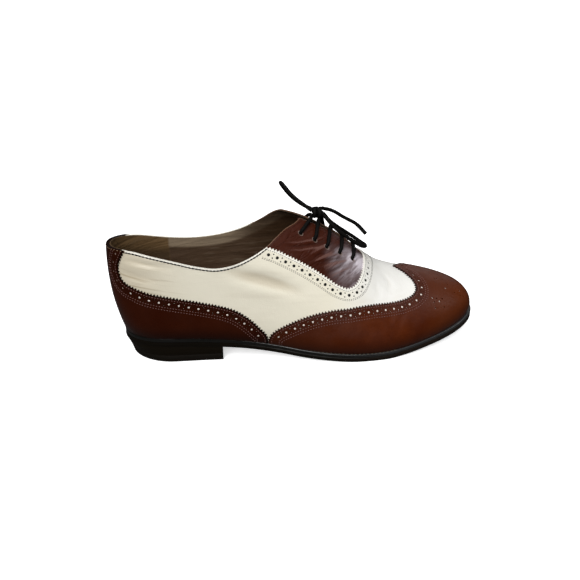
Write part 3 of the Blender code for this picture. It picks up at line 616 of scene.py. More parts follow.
def evenly(points, step):
    """Points about one step apart along a smooth curve through the given ones."""
    points = np.array(points, float)
    chord = run_length(points)
    fine = np.linspace(0, chord[-1], CURVE_FINENESS * len(points))
    columns = tuple(range(points.shape[1] + 1))
    table = np.column_stack([chord, points])
    curve = np.column_stack([smooth_table(table, column, columns, fine) for column in columns[1:]])
    return respaced(curve, curve, step)


def respaced(curve, measured, step):
    """A curve's points set evenly by the length of a measured copy of it."""
    length = run_length(measured)
    count = max(2, int(round(length[-1] / step)) + 1)
    wanted = np.linspace(0, length[-1], count)
    return np.column_stack([np.interp(wanted, length, curve[:, k]) for k in range(curve.shape[1])])


def on_leather(chart, curve, step):
    """A flat curve's points set evenly by their distance on the surface."""
    return respaced(curve, surface(*chart(curve)), step)


def metric(chart, flat):
    """How flat steps turn into distances on the surface: a 2 by 2 matrix at each point."""
    step = 0.5
    sides = []
    for shift in ((step, 0), (0, step)):
        ahead = surface(*chart(flat + shift))
        behind = surface(*chart(flat - shift))
        sides.append((ahead - behind) / (2 * step))
    along_u, along_v = sides
    first = (along_u * along_u).sum(axis=1)
    cross = (along_u * along_v).sum(axis=1)
    second = (along_v * along_v).sum(axis=1)
    return np.stack([np.stack([first, cross], axis=-1), np.stack([cross, second], axis=-1)], axis=-2)


def across_edge(chart, curve):
    """Flat steps of one millimetre on the surface, square to a curve and to its left."""
    tangent = np.gradient(curve, axis=0)
    square = np.column_stack([-tangent[:, 1], tangent[:, 0]])
    scale = metric(chart, curve)
    steps = np.linalg.solve(scale, square[:, :, None])[:, :, 0]
    lengths = np.sqrt(np.einsum("ni,nij,nj->n", steps, scale, steps))
    return steps / np.maximum(lengths, TINY)[:, None]


def beside(chart, curve, distance):
    """A curve moved to its left by a distance on the surface."""
    return curve + across_edge(chart, curve) * distance


def pinked(chart, curve):
    """A pinked edge along a curve: small pointed teeth."""
    points = on_leather(chart, curve, TOOTH_PITCH / 2)
    swing = np.where(np.arange(len(points)) % 2 == 0, 0.5, -0.5) * TOOTH_DEPTH
    swing[0] = 0
    swing[-1] = 0
    return points + across_edge(chart, points) * swing[:, None]


def hole_loop(chart, centre, diameter, corners):
    """A round hole as a flat loop."""
    scale = metric(chart, np.array([centre]))[0]
    values, vectors = np.linalg.eigh(scale)
    stretch = vectors @ np.diag(1 / np.sqrt(np.maximum(values, 1e-6))) @ vectors.T
    angle = np.linspace(0, 2 * np.pi, corners, endpoint=False)
    return centre + diameter / 2 * np.column_stack([np.cos(angle), np.sin(angle)]) @ stretch


def hole_loops(chart, centres, diameter):
    """Round holes as flat loops, with fewer corners where they are small."""
    corners = SMALL_CORNERS if diameter < SMALL_BELOW else BIG_CORNERS
    return [hole_loop(chart, centre, diameter, corners) for centre in centres]


def spaced_from(chart, row, pitch, start, shift):
    """Points a pitch apart on the surface along a row, one of them by a shift past the start."""
    length = run_length(surface(*chart(row)))
    anchor = length[np.argmin(np.linalg.norm(row - start, axis=1))] + shift
    wanted = np.arange(anchor % pitch, length[-1], pitch)
    return np.column_stack([np.interp(wanted, length, row[:, k]) for k in (0, 1)])


def brogue_holes(chart, row, pitch, start, keep):
    """Centres of the big holes along a row, and of the pairs of small ones between them."""
    big = spaced_from(chart, row, pitch, start, 0.0)
    between = spaced_from(chart, row, pitch, start, pitch / 2)
    sides = across_edge(chart, between) * SMALL_HOLE_SPREAD
    small = np.vstack([between + sides, between - sides])
    return big[keep(big)], small[keep(small)]


# Meshes

def inside(loops, points):
    """Which points lie inside the first loop and in none of the others."""
    result = np.zeros(len(points), bool)
    for loop in loops:
        for corner, previous in zip(loop, np.roll(loop, 1, axis=0)):
            rises = (corner[1] > points[:, 1]) != (previous[1] > points[:, 1])
            drop = previous[1] - corner[1]
            slope = (previous[0] - corner[0]) / (drop if drop else 1.0)
            result ^= rises & (points[:, 0] < corner[0] + slope * (points[:, 1] - corner[1]))
    return result


def loop_distance(loop, points):
    """Distance from points to a closed loop."""
    best = np.full(len(points), np.inf)
    for start, end in zip(loop, np.roll(loop, -1, axis=0)):
        best = np.minimum(best, segment_distance(points, start, end)[0])
    return best


def lattice(outline, step):
    """Points on a triangular lattice over an outline's box."""
    low = outline.min(axis=0)
    high = outline.max(axis=0)
    rows = np.arange(low[1], high[1], step * LATTICE_ROW)
    points = []
    for number, v in enumerate(rows):
        u = np.arange(low[0] + (number % 2) * step / 2, high[0], step)
        points.append(np.column_stack([u, np.full(len(u), v)]))
    return np.vstack(points)


def clear_of(loops, points, outline_room, hole_room):
    """The points that keep their distance from an outline and its holes."""
    keep = loop_distance(loops[0], points) > outline_room
    for loop in loops[1:]:
        centre = loop.mean(axis=0)
        reach = np.linalg.norm(loop - centre, axis=1).max() + hole_room
        keep &= np.linalg.norm(points - centre, axis=1) > reach
    return points[keep]


def filled(outline, holes, step):
    """Triangles that fill an outline round its holes: flat points, faces, and what each point edges."""
    loops = [outline, *holes]
    grid = lattice(outline, step)
    grid = clear_of(loops, grid[inside([outline], grid)], step * OUTLINE_ROOM, step * HOLE_ROOM)
    points = np.vstack([*loops, grid])
    kind = np.concatenate([np.full(len(outline), 1), np.full(sum(map(len, holes)), 2), np.zeros(len(grid))])
    edges = []
    start = 0
    for loop in loops:
        numbers = np.arange(len(loop)) + start
        edges.extend(zip(numbers.tolist(), np.roll(numbers, -1).tolist()))
        start += len(loop)
    corners = [Vector((float(u), float(v))) for u, v in points]
    made = delaunay_2d_cdt(corners, edges, [], 1, 1e-6)
    flat = np.array([tuple(corner) for corner in made[0]])
    kinds = np.array([max((kind[k] for k in first), default=1) for first in made[3]])
    faces = np.array(made[2])
    keep = inside(loops, flat[faces].mean(axis=1))
    return flat, faces[keep], kinds


def added(name, data):
    """A new object in the scene."""
    made = bpy.data.objects.new(name, data)
    bpy.context.scene.collection.objects.link(made)
    return made


def shaded(mesh):
    """Smooth shading with the sharp edges kept."""
    mesh.shade_smooth()
    mesh.set_sharp_from_angle(angle=np.radians(SHARP_ANGLE))


def new_piece(name, points, faces, finish):
    """A mesh object from points in metres."""
    mesh = bpy.data.meshes.new(name)
    mesh.from_pydata(np.asarray(points).tolist(), [], faces)
    mesh.update()
    shaded(mesh)
    mesh.materials.append(finish)
    return added(name, mesh)


def store(piece, name, values):
    """A value for each point of a piece, for its finish to read."""
    attribute = piece.data.attributes.new(name, "FLOAT", "POINT")
    attribute.data.foreach_set("value", np.asarray(values, np.float32))


def dress(piece, slot, *nodes):
    """Joins a finished piece to the frame."""
    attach(piece, "root")
    if nodes:
        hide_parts(*nodes)
    return piece


def level_at(level, x, signed):
    return level(x, signed) if callable(level) else np.full(len(x), float(level))


def panel(name, chart, outline, holes, step, top, under, finish, spots=None):
    """A sheet of leather laid over the last: its face, its underside and its cut edges."""
    flat, faces, kinds = filled(outline, holes, step)
    x, signed = chart(flat)
    drop = np.where(kinds == 1, EDGE_SOFTNESS, np.where(kinds == 2, HOLE_SOFTNESS, 0.0))
    face, normal = lifted(x, signed, level_at(top, x, signed) - drop)
    base = lifted(x, signed, level_at(under, x, signed))[0]
    first, second, third = face[faces[:, 0]], face[faces[:, 1]], face[faces[:, 2]]
    turn = (np.cross(second - first, third - first) * normal[faces[:, 0]]).sum(axis=1)
    faces = np.where((turn < 0)[:, None], faces[:, ::-1], faces)
    count = len(flat)
    sides = np.vstack([faces[:, [0, 1]], faces[:, [1, 2]], faces[:, [2, 0]]])
    keys = np.sort(sides, axis=1) @ (count, 1)
    numbers, times = np.unique(keys, return_counts=True)
    single = np.isin(keys, numbers[times == 1])
    rim = sides[single]
    walls = np.column_stack([rim[:, 1], rim[:, 0], rim[:, 0] + count, rim[:, 1] + count])
    all_faces = faces.tolist() + (faces[:, ::-1] + count).tolist() + walls.tolist()
    piece = new_piece(name, placed(np.vstack([face, base])), all_faces, finish)
    read = {
        "from_edge": loop_distance(outline, flat),
        "rise": (1 - np.abs(signed)) * girth_at(x, signed),
        "along": x,
        "hollow": -relief(x, signed),
    }
    if spots is not None:
        read["from_spot"] = np.linalg.norm(flat[:, None, :] - spots[None, :, :], axis=2).min(axis=1)
    for key, values in read.items():
        store(piece, key, np.tile(values, 2))
    return piece


# Finishes

class Finish:
    """A material and short ways to add and join its nodes."""

    def __init__(self, name, colour, roughness, **sockets):
        self.material = bpy.data.materials.new(name)
        self.material.use_nodes = True
        self.tree = self.material.node_tree
        self.shader = self.tree.nodes["Principled BSDF"]
        self.shader.inputs["Base Color"].default_value = (*colour, 1)
        self.shader.inputs["Roughness"].default_value = roughness
        for socket, value in sockets.items():
            self.shader.inputs[socket.replace("_", " ")].default_value = value
        self.place = self.tree.nodes.new("ShaderNodeTexCoord").outputs["Object"]

    def node(self, kind, settings=(), **inputs):
        made = self.tree.nodes.new(kind)
        for name, value in dict(settings).items():
            setattr(made, name, value)
        for name, value in inputs.items():
            self.put(value, made.inputs[name.replace("_", " ")])
        return made

    def put(self, value, socket):
        if isinstance(value, bpy.types.NodeSocket):
            self.tree.links.new(value, socket)
        else:
            socket.default_value = value

    def noise(self, scale, detail=3.0, roughness=0.55, stretch=None):
        place = self.place
        if stretch:
            place = self.node("ShaderNodeMapping", Vector=place, Scale=stretch).outputs["Vector"]
        made = self.node("ShaderNodeTexNoise", Vector=place, Scale=scale, Detail=detail, Roughness=roughness)
        return made.outputs["Fac"]

    def cells(self, scale):
        return self.node("ShaderNodeTexVoronoi", Vector=self.place, Scale=scale).outputs["Distance"]

    def flow(self, angle, long, across, detail=4.0):
        """Noise drawn out along the leather, in millimetres, at an angle above the shoe's length."""
        turn = np.radians(angle)
        rows = ((np.cos(turn) / long, np.sin(turn) / long), (-np.sin(turn) / across, np.cos(turn) / across))
        parts = []
        for first, second in rows:
            forward = self.maths("MULTIPLY", self.read("along"), float(first))
            upward = self.maths("MULTIPLY", self.read("rise"), float(second))
            parts.append(self.maths("ADD", forward, upward))
        place = self.node("ShaderNodeCombineXYZ", X=parts[0], Y=parts[1]).outputs["Vector"]
        return self.node("ShaderNodeTexNoise", Vector=place, Scale=1.0, Detail=detail).outputs["Fac"]

    def axis(self, name):
        return self.node("ShaderNodeSeparateXYZ", Vector=self.place).outputs[name]

    def read(self, name):
        return self.node("ShaderNodeAttribute", {"attribute_name": name}).outputs["Fac"]

    def ranged(self, value, low, high, to_low=0.0, to_high=1.0):
        made = self.node("ShaderNodeMapRange", {"interpolation_type": "SMOOTHSTEP"}, Value=value)
        for name, number in (("From Min", low), ("From Max", high), ("To Min", to_low), ("To Max", to_high)):
            made.inputs[name].default_value = number
        return made.outputs["Result"]

    def maths(self, operation, first, second):
        made = self.node("ShaderNodeMath", {"operation": operation})
        self.put(first, made.inputs[0])
        self.put(second, made.inputs[1])
        return made.outputs["Value"]

    def mixed(self, share, first, second):
        made = self.node("ShaderNodeMix", {"data_type": "RGBA"})
        self.put(share, made.inputs["Factor"])
        for socket, value in ((made.inputs[6], first), (made.inputs[7], second)):
            self.put(value if isinstance(value, bpy.types.NodeSocket) else (*value, 1), socket)
        return made.outputs[2]

    def colour(self, value):
        self.put(value, self.shader.inputs["Base Color"])

    def roughness(self, value):
        self.put(value, self.shader.inputs["Roughness"])

    def bump(self, *layers):
        """Bump from pairs of a height and its depth in metres, the coarsest first."""
        normal = None
        for height, depth in layers:
            made = self.node("ShaderNodeBump", Height=height, Distance=depth, Strength=1.0)
            if normal:
                self.put(normal, made.inputs["Normal"])
            normal = made.outputs["Normal"]
        self.put(normal, self.shader.inputs["Normal"])


def leather_grain(finish, depth):
    """Fine pores and soft unevenness of smooth calf."""
    pores = finish.cells(1500)
    soft = finish.noise(160, 4)
    finish.bump((soft, 0.00025 * depth), (pores, 0.00006 * depth))


def white_finish():
    """Ivory calf: creamy on the quarters, whiter on the vamp, darker and yellower towards the heel and the
    sole, partly from age and partly as painted shade, with painted shade in its creases.
    """
    finish = Finish("white_leather", (0.80, 0.77, 0.68), 0.42, Specular_IOR_Level=0.4, Coat_Weight=0.12)
    front = finish.ranged(finish.read("along"), 165, 212)
    heel = finish.ranged(finish.read("along"), 70, 12)
    low = finish.ranged(finish.read("rise"), 45, 12)
    base = finish.mixed(front, (0.80, 0.755, 0.62), (0.80, 0.79, 0.75))
    streaks = finish.noise(38, 5, 0.6, (0.35, 1.0, 2.6))
    # Darker and yellower towards the heel and the sole: partly age, partly painted shade.
    aged_and_shaded = finish.mixed(finish.maths("MULTIPLY", heel, 0.75), base, (0.60, 0.525, 0.39))
    aged_and_shaded = finish.mixed(finish.maths("MULTIPLY", low, 0.04), aged_and_shaded, (0.60, 0.52, 0.39))
    mottled = finish.mixed(finish.ranged(streaks, 0.5, 0.75, 0.0, 0.3), aged_and_shaded, (0.62, 0.56, 0.44))
    # Painted shade in the creases' troughs: a beige-brown mixed in by their depth.
    hollow = finish.ranged(finish.read("hollow"), 0.05, 1.1, 0.0, 0.5)
    mottled = finish.mixed(hollow, mottled, (0.50, 0.42, 0.29))
    lines = finish.maths("MULTIPLY", heel, finish.ranged(finish.flow(-9, 45, 2.2), 0.53, 0.66, 0.0, 0.6))
    mottled = finish.mixed(lines, mottled, (0.40, 0.32, 0.20))
    rim = finish.ranged(finish.read("from_edge"), 1.7, 1.2)
    finish.colour(finish.mixed(finish.maths("MULTIPLY", rim, 0.7), mottled, (0.88, 0.86, 0.79)))
    finish.roughness(finish.ranged(finish.noise(60, 4), 0.3, 0.7, 0.36, 0.5))
    leather_grain(finish, 1.0)
    return finish.material


TOE_TAN = (0.13, 0.032, 0.008)


def brown_finish(name, base, light, dark, roughness, specular, aft=0.0):
    """Burnished calf: lighter where it is rubbed and on the toe, darker at its edges and aft, and darker
    towards the sole, partly burnish and partly painted shade.
    """
    finish = Finish(name, base, roughness, Specular_IOR_Level=specular)
    clouds = finish.noise(26, 5, 0.6)
    rubbed = finish.mixed(finish.ranged(clouds, 0.35, 0.7), base, light)
    rubbed = finish.mixed(finish.ranged(finish.read("along"), 240, 262, 0.0, 0.32), rubbed, TOE_TAN)
    rubbed = finish.mixed(finish.ranged(finish.read("along"), 205, 150, 0.0, aft), rubbed, dark)
    # Darker towards the sole: partly burnish, partly painted shade; darker near the cut edges by burnish.
    low = finish.ranged(finish.read("rise"), 16, 2)
    behind_toe = finish.ranged(finish.read("along"), 225, 255, 0.5, 0.05)
    rim = finish.ranged(finish.read("from_edge"), 11, 1)
    shaded = finish.mixed(finish.maths("MULTIPLY", low, behind_toe), rubbed, dark)
    shaded = finish.mixed(finish.maths("MULTIPLY", rim, 0.5), shaded, dark)
    cut = finish.ranged(finish.read("from_edge"), 0.45, 0.0, 0.0, 0.85)
    finish.colour(finish.mixed(cut, shaded, tuple(0.35 * value for value in dark)))
    finish.roughness(finish.ranged(finish.noise(70, 4), 0.3, 0.7, roughness - 0.06, roughness + 0.1))
    leather_grain(finish, 0.9)
    return finish.material


def wing_finish():
    base, light, dark = (0.052, 0.008, 0.0012), (0.084, 0.0155, 0.0026), (0.034, 0.006, 0.0012)
    return brown_finish("brown_wing", base, light, dark, 0.4, 0.2, aft=0.5)


def foxing_finish():
    base, light, dark = (0.026, 0.0042, 0.001), (0.034, 0.006, 0.0015), (0.013, 0.0025, 0.0008)
    return brown_finish("brown_foxing", base, light, dark, 0.3, 0.12)


def facing_finish():
    """Red-brown calf with curved wrinkles, smoother towards the front with a painted sheen there, painted
    highlights on its ridges, painted shade in its troughs, a lighter ring round each lace hole, and a tan cut
    edge.
    """
    finish = Finish("facing_leather", (0.045, 0.010, 0.005), 0.4, Specular_IOR_Level=0.09)
    forward = finish.read("along")
    clouds = finish.ranged(finish.noise(40, 5, 0.6), 0.35, 0.7)
    base = finish.mixed(clouds, (0.036, 0.0068, 0.0024), (0.050, 0.0105, 0.0045))
    # Painted sheen: pale grey-violet blotches mixed in towards the front stand for a highlight there.
    wear_and_painted_light = finish.ranged(finish.flow(42, 16, 5.0), 0.36, 0.62, 0.3, 1.0)
    painted_sheen = finish.maths("MULTIPLY", finish.ranged(forward, 164, 196), wear_and_painted_light)
    painted_sheen = finish.maths("MULTIPLY", painted_sheen, finish.ranged(finish.read("rise"), 54, 76, 0.22, 1.0))
    painted_sheen = finish.maths("MULTIPLY", painted_sheen, finish.ranged(finish.read("rise"), 79, 92, 1.0, 0.1))
    base = finish.mixed(painted_sheen, base, (0.66, 0.60, 0.65))
    # Painted highlight on the creases' ridges and painted shade in their troughs.
    ridges = finish.ranged(finish.read("hollow"), -0.03, -0.12, 0.0, 0.55)
    base = finish.mixed(ridges, base, (0.17, 0.085, 0.07))
    troughs = finish.ranged(finish.read("hollow"), 0.1, 0.5, 0.0, 0.5)
    base = finish.mixed(troughs, base, (0.02, 0.004, 0.0015))
    # A lighter ring round each lace hole: its raw punched edge, with a painted highlight on it.
    punched = finish.ranged(finish.read("from_spot"), LACE_HOLE / 2 + 0.5, LACE_HOLE / 2 + 0.15, 0.0, 0.7)
    base = finish.mixed(punched, base, (0.22, 0.165, 0.145))
    edge = finish.ranged(finish.read("from_edge"), 0.55, 0.2)
    finish.colour(finish.mixed(edge, base, (0.17, 0.095, 0.058)))
    wrinkles = finish.maths("ABSOLUTE", finish.maths("SUBTRACT", finish.flow(42, 24, 5.0, 1.5), 0.5), 0.0)
    creased = finish.ranged(wrinkles, 0.0, 0.04)
    finish.roughness(finish.ranged(forward, 162, 188, 0.42, 0.3))
    finish.bump((creased, 0.00025), (finish.noise(300, 4, 0.6), 0.0003), (finish.cells(1500), 0.00006))
    return finish.material


def lining_finish():
    """Lining leather: tan at the heel up to its seam, a taupe strip under the top edge, dark within, partly
    its own tone and partly painted shade that deepens away from the top edge in the heel, with painted
    highlights on its folds.
    """
    finish = Finish("lining_leather", (0.066, 0.038, 0.021), 0.5, Specular_IOR_Level=0.35)
    deep = finish.ranged(finish.read("along"), 95, 135)
    base = finish.mixed(deep, (0.066, 0.038, 0.021), (0.040, 0.020, 0.0085))
    # The taupe strip under the top edge is lighter than the leather within, whose dark tone is partly painted
    # shade.
    strip = finish.ranged(finish.read("from_edge"), 10, 7)
    taupe = finish.maths("MULTIPLY", strip, finish.ranged(finish.read("along"), 120, 90, 0.15, 1.0))
    base = finish.mixed(taupe, base, (0.24, 0.18, 0.12))
    heel = finish.ranged(finish.read("along"), 47, 45)
    base = finish.mixed(heel, base, (0.135, 0.08, 0.034))
    # Painted shade: darker away from the top edge, deep in the heel.
    wear_and_painted_light = finish.ranged(finish.read("from_edge"), 5, 16, 0.0, 0.75)
    base = finish.mixed(finish.maths("MULTIPLY", heel, wear_and_painted_light), base, (0.026, 0.014, 0.006))
    # Folds: relief, with painted highlights where their colour turns lighter.
    folds = finish.flow(12, 34, 5.0)
    finish.colour(finish.mixed(finish.ranged(folds, 0.55, 0.72, 0.0, 0.4), base, (0.17, 0.13, 0.09)))
    finish.roughness(finish.ranged(folds, 0.35, 0.7, 0.55, 0.4))
    finish.bump((folds, 0.0012), (finish.noise(300, 5, 0.6), 0.0003), (finish.cells(1300), 0.00006))
    return finish.material


def tongue_finish():
    finish = Finish("tongue_leather", (0.05, 0.012, 0.006), 0.5, Specular_IOR_Level=0.4)
    clouds = finish.noise(50, 5)
    finish.colour(finish.mixed(clouds, (0.035, 0.009, 0.005), (0.065, 0.017, 0.009)))
    leather_grain(finish, 1.0)
    return finish.material


def insole_finish():
    """Plain sock leather, darker where a foot has pressed."""
    finish = Finish("insole_leather", (0.16, 0.11, 0.065), 0.6, Specular_IOR_Level=0.3)
    wear_and_painted_light = finish.ranged(finish.noise(22, 5), 0.35, 0.65)
    finish.colour(finish.mixed(wear_and_painted_light, (0.17, 0.12, 0.072), (0.085, 0.058, 0.034)))
    leather_grain(finish, 1.0)
    return finish.material


def edge_finish(name, tone, roughness, specular=0.1, fore=None):
    """Black waxed edge of pressed leather, with faint streaks and scuffs; fore is its tone at the toe."""
    finish = Finish(name, tone, roughness, Specular_IOR_Level=specular)
    streaks = finish.noise(60, 5, 0.6, (0.5, 0.5, 9.0))
    scuffs = finish.ranged(finish.noise(140, 6, 0.7), 0.62, 0.78)
    dull = tuple(2.6 * value + 0.004 for value in tone)
    base = finish.mixed(finish.ranged(finish.axis("X"), *FORE_EDGE), tone, fore) if fore else tone
    finish.colour(finish.mixed(finish.maths("MULTIPLY", scuffs, 0.6), base, dull))
    finish.roughness(finish.ranged(streaks, 0.3, 0.7, roughness - 0.08, roughness + 0.12))
    finish.bump((streaks, 0.0002), (finish.noise(900, 3), 0.00008))
    return finish.material


def thread_finish(name, colour):
    finish = Finish(name, colour, 0.6, Specular_IOR_Level=0.3)
    twist = finish.noise(2500, 2)
    finish.colour(finish.mixed(twist, tuple(0.75 * value for value in colour), colour))
    return finish.material


def lace_finish():
    """Round braided cotton, waxed black."""
    finish = Finish("black_lace", (0.0035, 0.003, 0.0027), 0.65, Specular_IOR_Level=0.07)
    fibres = finish.noise(1800, 3)
    finish.colour(finish.mixed(fibres, (0.0022, 0.002, 0.0018), (0.006, 0.0054, 0.0048)))
    finish.bump((fibres, 0.00008))
    return finish.material


def aglet_finish():
    finish = Finish("black_aglet", (0.006, 0.006, 0.006), 0.25, Specular_IOR_Level=0.5)
    finish.roughness(finish.ranged(finish.noise(300, 3), 0.3, 0.7, 0.2, 0.36))
    return finish.material


def plain_finish(name, colour, roughness):
    """A small dull fill, slightly uneven: the dark rounds in the band's holes, partly an underlay and partly
    painted shade.
    """
    finish = Finish(name, colour, roughness, Specular_IOR_Level=0.3)
    finish.colour(finish.mixed(finish.noise(400, 3), tuple(0.8 * value for value in colour), colour))
    return finish.material


# Geometry Nodes: stitches along a row, and small rounds set in holes

def new_tree(name, numbers):
    tree = bpy.data.node_groups.new(name, "GeometryNodeTree")
    tree.interface.new_socket("Geometry", in_out="INPUT", socket_type="NodeSocketGeometry")
    for number in numbers:
        tree.interface.new_socket(number, in_out="INPUT", socket_type="NodeSocketFloat")
    tree.interface.new_socket("Finish", in_out="INPUT", socket_type="NodeSocketMaterial")
    tree.interface.new_socket("Geometry", in_out="OUTPUT", socket_type="NodeSocketGeometry")
    return tree


def link(tree, source, output, target, socket):
    tree.links.new(source.outputs[output], target.inputs[socket])


def rounded_grain(tree, start, sizes):
    """A small smooth ellipsoid whose three sizes are inputs of the tree."""
    ball = tree.nodes.new("GeometryNodeMeshUVSphere")
    ball.inputs["Segments"].default_value = 8
    ball.inputs["Rings"].default_value = 5
    ball.inputs["Radius"].default_value = 0.5
    scale = tree.nodes.new("ShaderNodeCombineXYZ")
    for axis, size in zip("XYZ", sizes):
        link(tree, start, size, scale, axis)
    shaped = tree.nodes.new("GeometryNodeTransform")
    smooth = tree.nodes.new("GeometryNodeSetShadeSmooth")
    link(tree, ball, "Mesh", shaped, "Geometry")
    link(tree, scale, "Vector", shaped, "Scale")
    link(tree, shaped, "Geometry", smooth, "Geometry")
    return smooth


def set_out(tree, start, points, output, grain, run=None):
    """Puts the grain on every point, standing on the stored normal and turned along the run."""
    up = tree.nodes.new("GeometryNodeInputNamedAttribute")
    up.data_type = "FLOAT_VECTOR"
    up.inputs["Name"].default_value = "up"
    stand = tree.nodes.new("FunctionNodeAlignRotationToVector")
    stand.axis = "Z"
    link(tree, up, "Attribute", stand, "Vector")
    turned = stand
    if run:
        turned = tree.nodes.new("FunctionNodeAlignRotationToVector")
        turned.axis = "X"
        turned.pivot_axis = "Z"
        link(tree, stand, "Rotation", turned, "Rotation")
        link(tree, run, "Tangent", turned, "Vector")
    instances = tree.nodes.new("GeometryNodeInstanceOnPoints")
    realized = tree.nodes.new("GeometryNodeRealizeInstances")
    coloured = tree.nodes.new("GeometryNodeSetMaterial")
    end = tree.nodes.new("NodeGroupOutput")
    link(tree, points, output, instances, "Points")
    link(tree, grain, "Geometry", instances, "Instance")
    link(tree, turned, "Rotation", instances, "Rotation")
    link(tree, instances, "Instances", realized, "Geometry")
    link(tree, realized, "Geometry", coloured, "Geometry")
    link(tree, start, "Finish", coloured, "Material")
    link(tree, coloured, "Geometry", end, "Geometry")


def stitch_tree():
    """Stitches at an even pitch along the edges of a mesh."""
    tree = new_tree("stitch_row", ("Pitch", "Length", "Width", "Height"))
    start = tree.nodes.new("NodeGroupInput")
    curve = tree.nodes.new("GeometryNodeMeshToCurve")
    spaced = tree.nodes.new("GeometryNodeResampleCurve")
    spaced.mode = "LENGTH"
    link(tree, start, "Geometry", curve, "Mesh")
    link(tree, curve, "Curve", spaced, "Curve")
    link(tree, start, "Pitch", spaced, "Length")
    run = tree.nodes.new("GeometryNodeInputTangent")
    grain = rounded_grain(tree, start, ("Length", "Width", "Height"))
    set_out(tree, start, spaced, "Curve", grain, run)
    return tree


def round_tree():
    """Small domed rounds on the points of a mesh."""
    tree = new_tree("hole_round", ("Width", "Height"))
    start = tree.nodes.new("NodeGroupInput")
    grain = rounded_grain(tree, start, ("Width", "Width", "Height"))
    set_out(tree, start, start, "Geometry", grain)
    return tree


def grown(name, tree, rows, values, finish):
    """The mesh that a tree grows on rows of points with normals, joined by edges where it has a pitch."""
    points = np.vstack([row[0] for row in rows])
    normals = np.vstack([row[1] for row in rows])
    edges = []
    start = 0
    for row in rows:
        if "Pitch" in values:
            edges.extend((k, k + 1) for k in range(start, start + len(row[0]) - 1))
        start += len(row[0])
    mesh = bpy.data.meshes.new(name)
    mesh.from_pydata(placed(points).tolist(), edges, [])
    up = mesh.attributes.new("up", "FLOAT_VECTOR", "POINT")
    up.data.foreach_set("vector", normals.astype(np.float32).ravel())
    source = added(name + "_rows", mesh)
    modifier = source.modifiers.new("grow", "NODES")
    modifier.node_group = tree
    for item in tree.interface.items_tree:
        if item.in_out == "INPUT" and item.name in values:
            modifier[item.identifier] = values[item.name] * MM
        if item.in_out == "INPUT" and item.name == "Finish":
            modifier[item.identifier] = finish
    graph = bpy.context.evaluated_depsgraph_get()
    made = bpy.data.meshes.new_from_object(source.evaluated_get(graph))
    made.name = name
    bpy.data.objects.remove(source)
    return added(name, made)


def stitches(name, tree, rows, finish, slot, pitch, length, width):
    values = {"Pitch": pitch, "Length": length, "Width": width, "Height": width}
    return dress(grown(name, tree, rows, values, finish), slot)


def row_on(chart, curve, level):
    """A stitch row's points and normals at a level above the surface."""
    return lifted(*chart(curve), level)


# Panels of the upper

def topline_flat(x, side):
    """Flat points over the ridge along the upper's top edge."""
    return np.column_stack([along(x), side * (1 - top_share(x, side)) * girth_at(x, side)])


def feather_flat(x, side):
    return np.column_stack([along(x), side * girth_at(x, side)])


def below_topline(flat, side, room=0.0):
    """Which flat points over the ridge lie under the top edge by some room."""
    x = station(flat[:, 0])
    return np.abs(flat[:, 1]) > (1 - top_share(x, side)) * girth_at(x, side) + room


def band_curve():
    """The edge of the white panel round the facings, from the lateral top edge to the medial one."""
    lateral = ridge_flat(FACING_LATERAL, -1)
    medial = ridge_flat(FACING_MEDIAL, 1)[::-1]
    curve = evenly(np.vstack([lateral, medial[1:]]), CURVE_STEP)
    keep = np.where(curve[:, 1] < 0, below_topline(curve, -1), below_topline(curve, 1))
    first = int(np.argmax(keep))
    end = len(keep) - int(np.argmax(keep[::-1]))
    return curve[first:end]


def stations_between(first, end, step=OUTLINE_STEP):
    """Places along the last about one step apart on the wall."""
    u = np.linspace(along(first), along(end), max(2, int(abs(along(end) - along(first)) / step) + 1))
    return station(u)


def joined(*runs):
    """One closed outline from runs that meet end to start."""
    return np.vstack([run[:-1] if np.allclose(run[-1], after[0]) else run
                      for run, after in zip(runs, runs[1:] + runs[:1])])


def line(start, end):
    count = max(2, int(np.linalg.norm(np.subtract(end, start)) / OUTLINE_STEP) + 1)
    return np.linspace(start, end, count)


def feather_runs(back, front):
    """The feather edge under a panel: its lateral run backwards, and its medial run forwards."""
    lateral = feather_flat(stations_between(front, back), -1)
    medial = feather_flat(stations_between(back, front), 1)
    return lateral, medial


def white_outline(band):
    lateral_top = topline_flat(stations_between(WHITE_BACK_TOP, station(band[0, 0])), -1)[:-1]
    medial_top = topline_flat(stations_between(station(band[-1, 0]), WHITE_BACK_TOP), 1)[1:]
    lateral_foot, medial_foot = feather_runs(WHITE_BACK[-1][0], WHITE_FRONT)
    medial_back = evenly(np.vstack([medial_top[-1:], ridge_flat(WHITE_BACK, 1)]), OUTLINE_STEP)
    lateral_back = evenly(np.vstack([lateral_top[:1], ridge_flat(WHITE_BACK, -1)]), OUTLINE_STEP)[::-1]
    edge = pinked(over_ridge, band)
    return joined(
        lateral_top, edge, medial_top, medial_back, medial_foot,
        line(medial_foot[-1], lateral_foot[0]), lateral_foot, lateral_back,
    )


def fold(x, signed):
    """1 at the top edge, where a panel is folded over to the lining, and 0 below the fold."""
    top = np.where(signed < 0, top_share(x, -1), top_share(x, 1))
    room = (top - (1 - np.abs(signed))) * girth_at(x, signed)
    return ease(FOLD_WIDTH - room)


def white_under(x, signed):
    return WHITE_UNDER + (FOLD_UNDER - WHITE_UNDER) * (x < WHITE_FOLD_END) * fold(x, signed)


def foxing_under(x, signed):
    return OVERLAY_UNDER + (FOLD_UNDER - OVERLAY_UNDER) * (x < WHITE_BACK_TOP) * fold(x, signed)


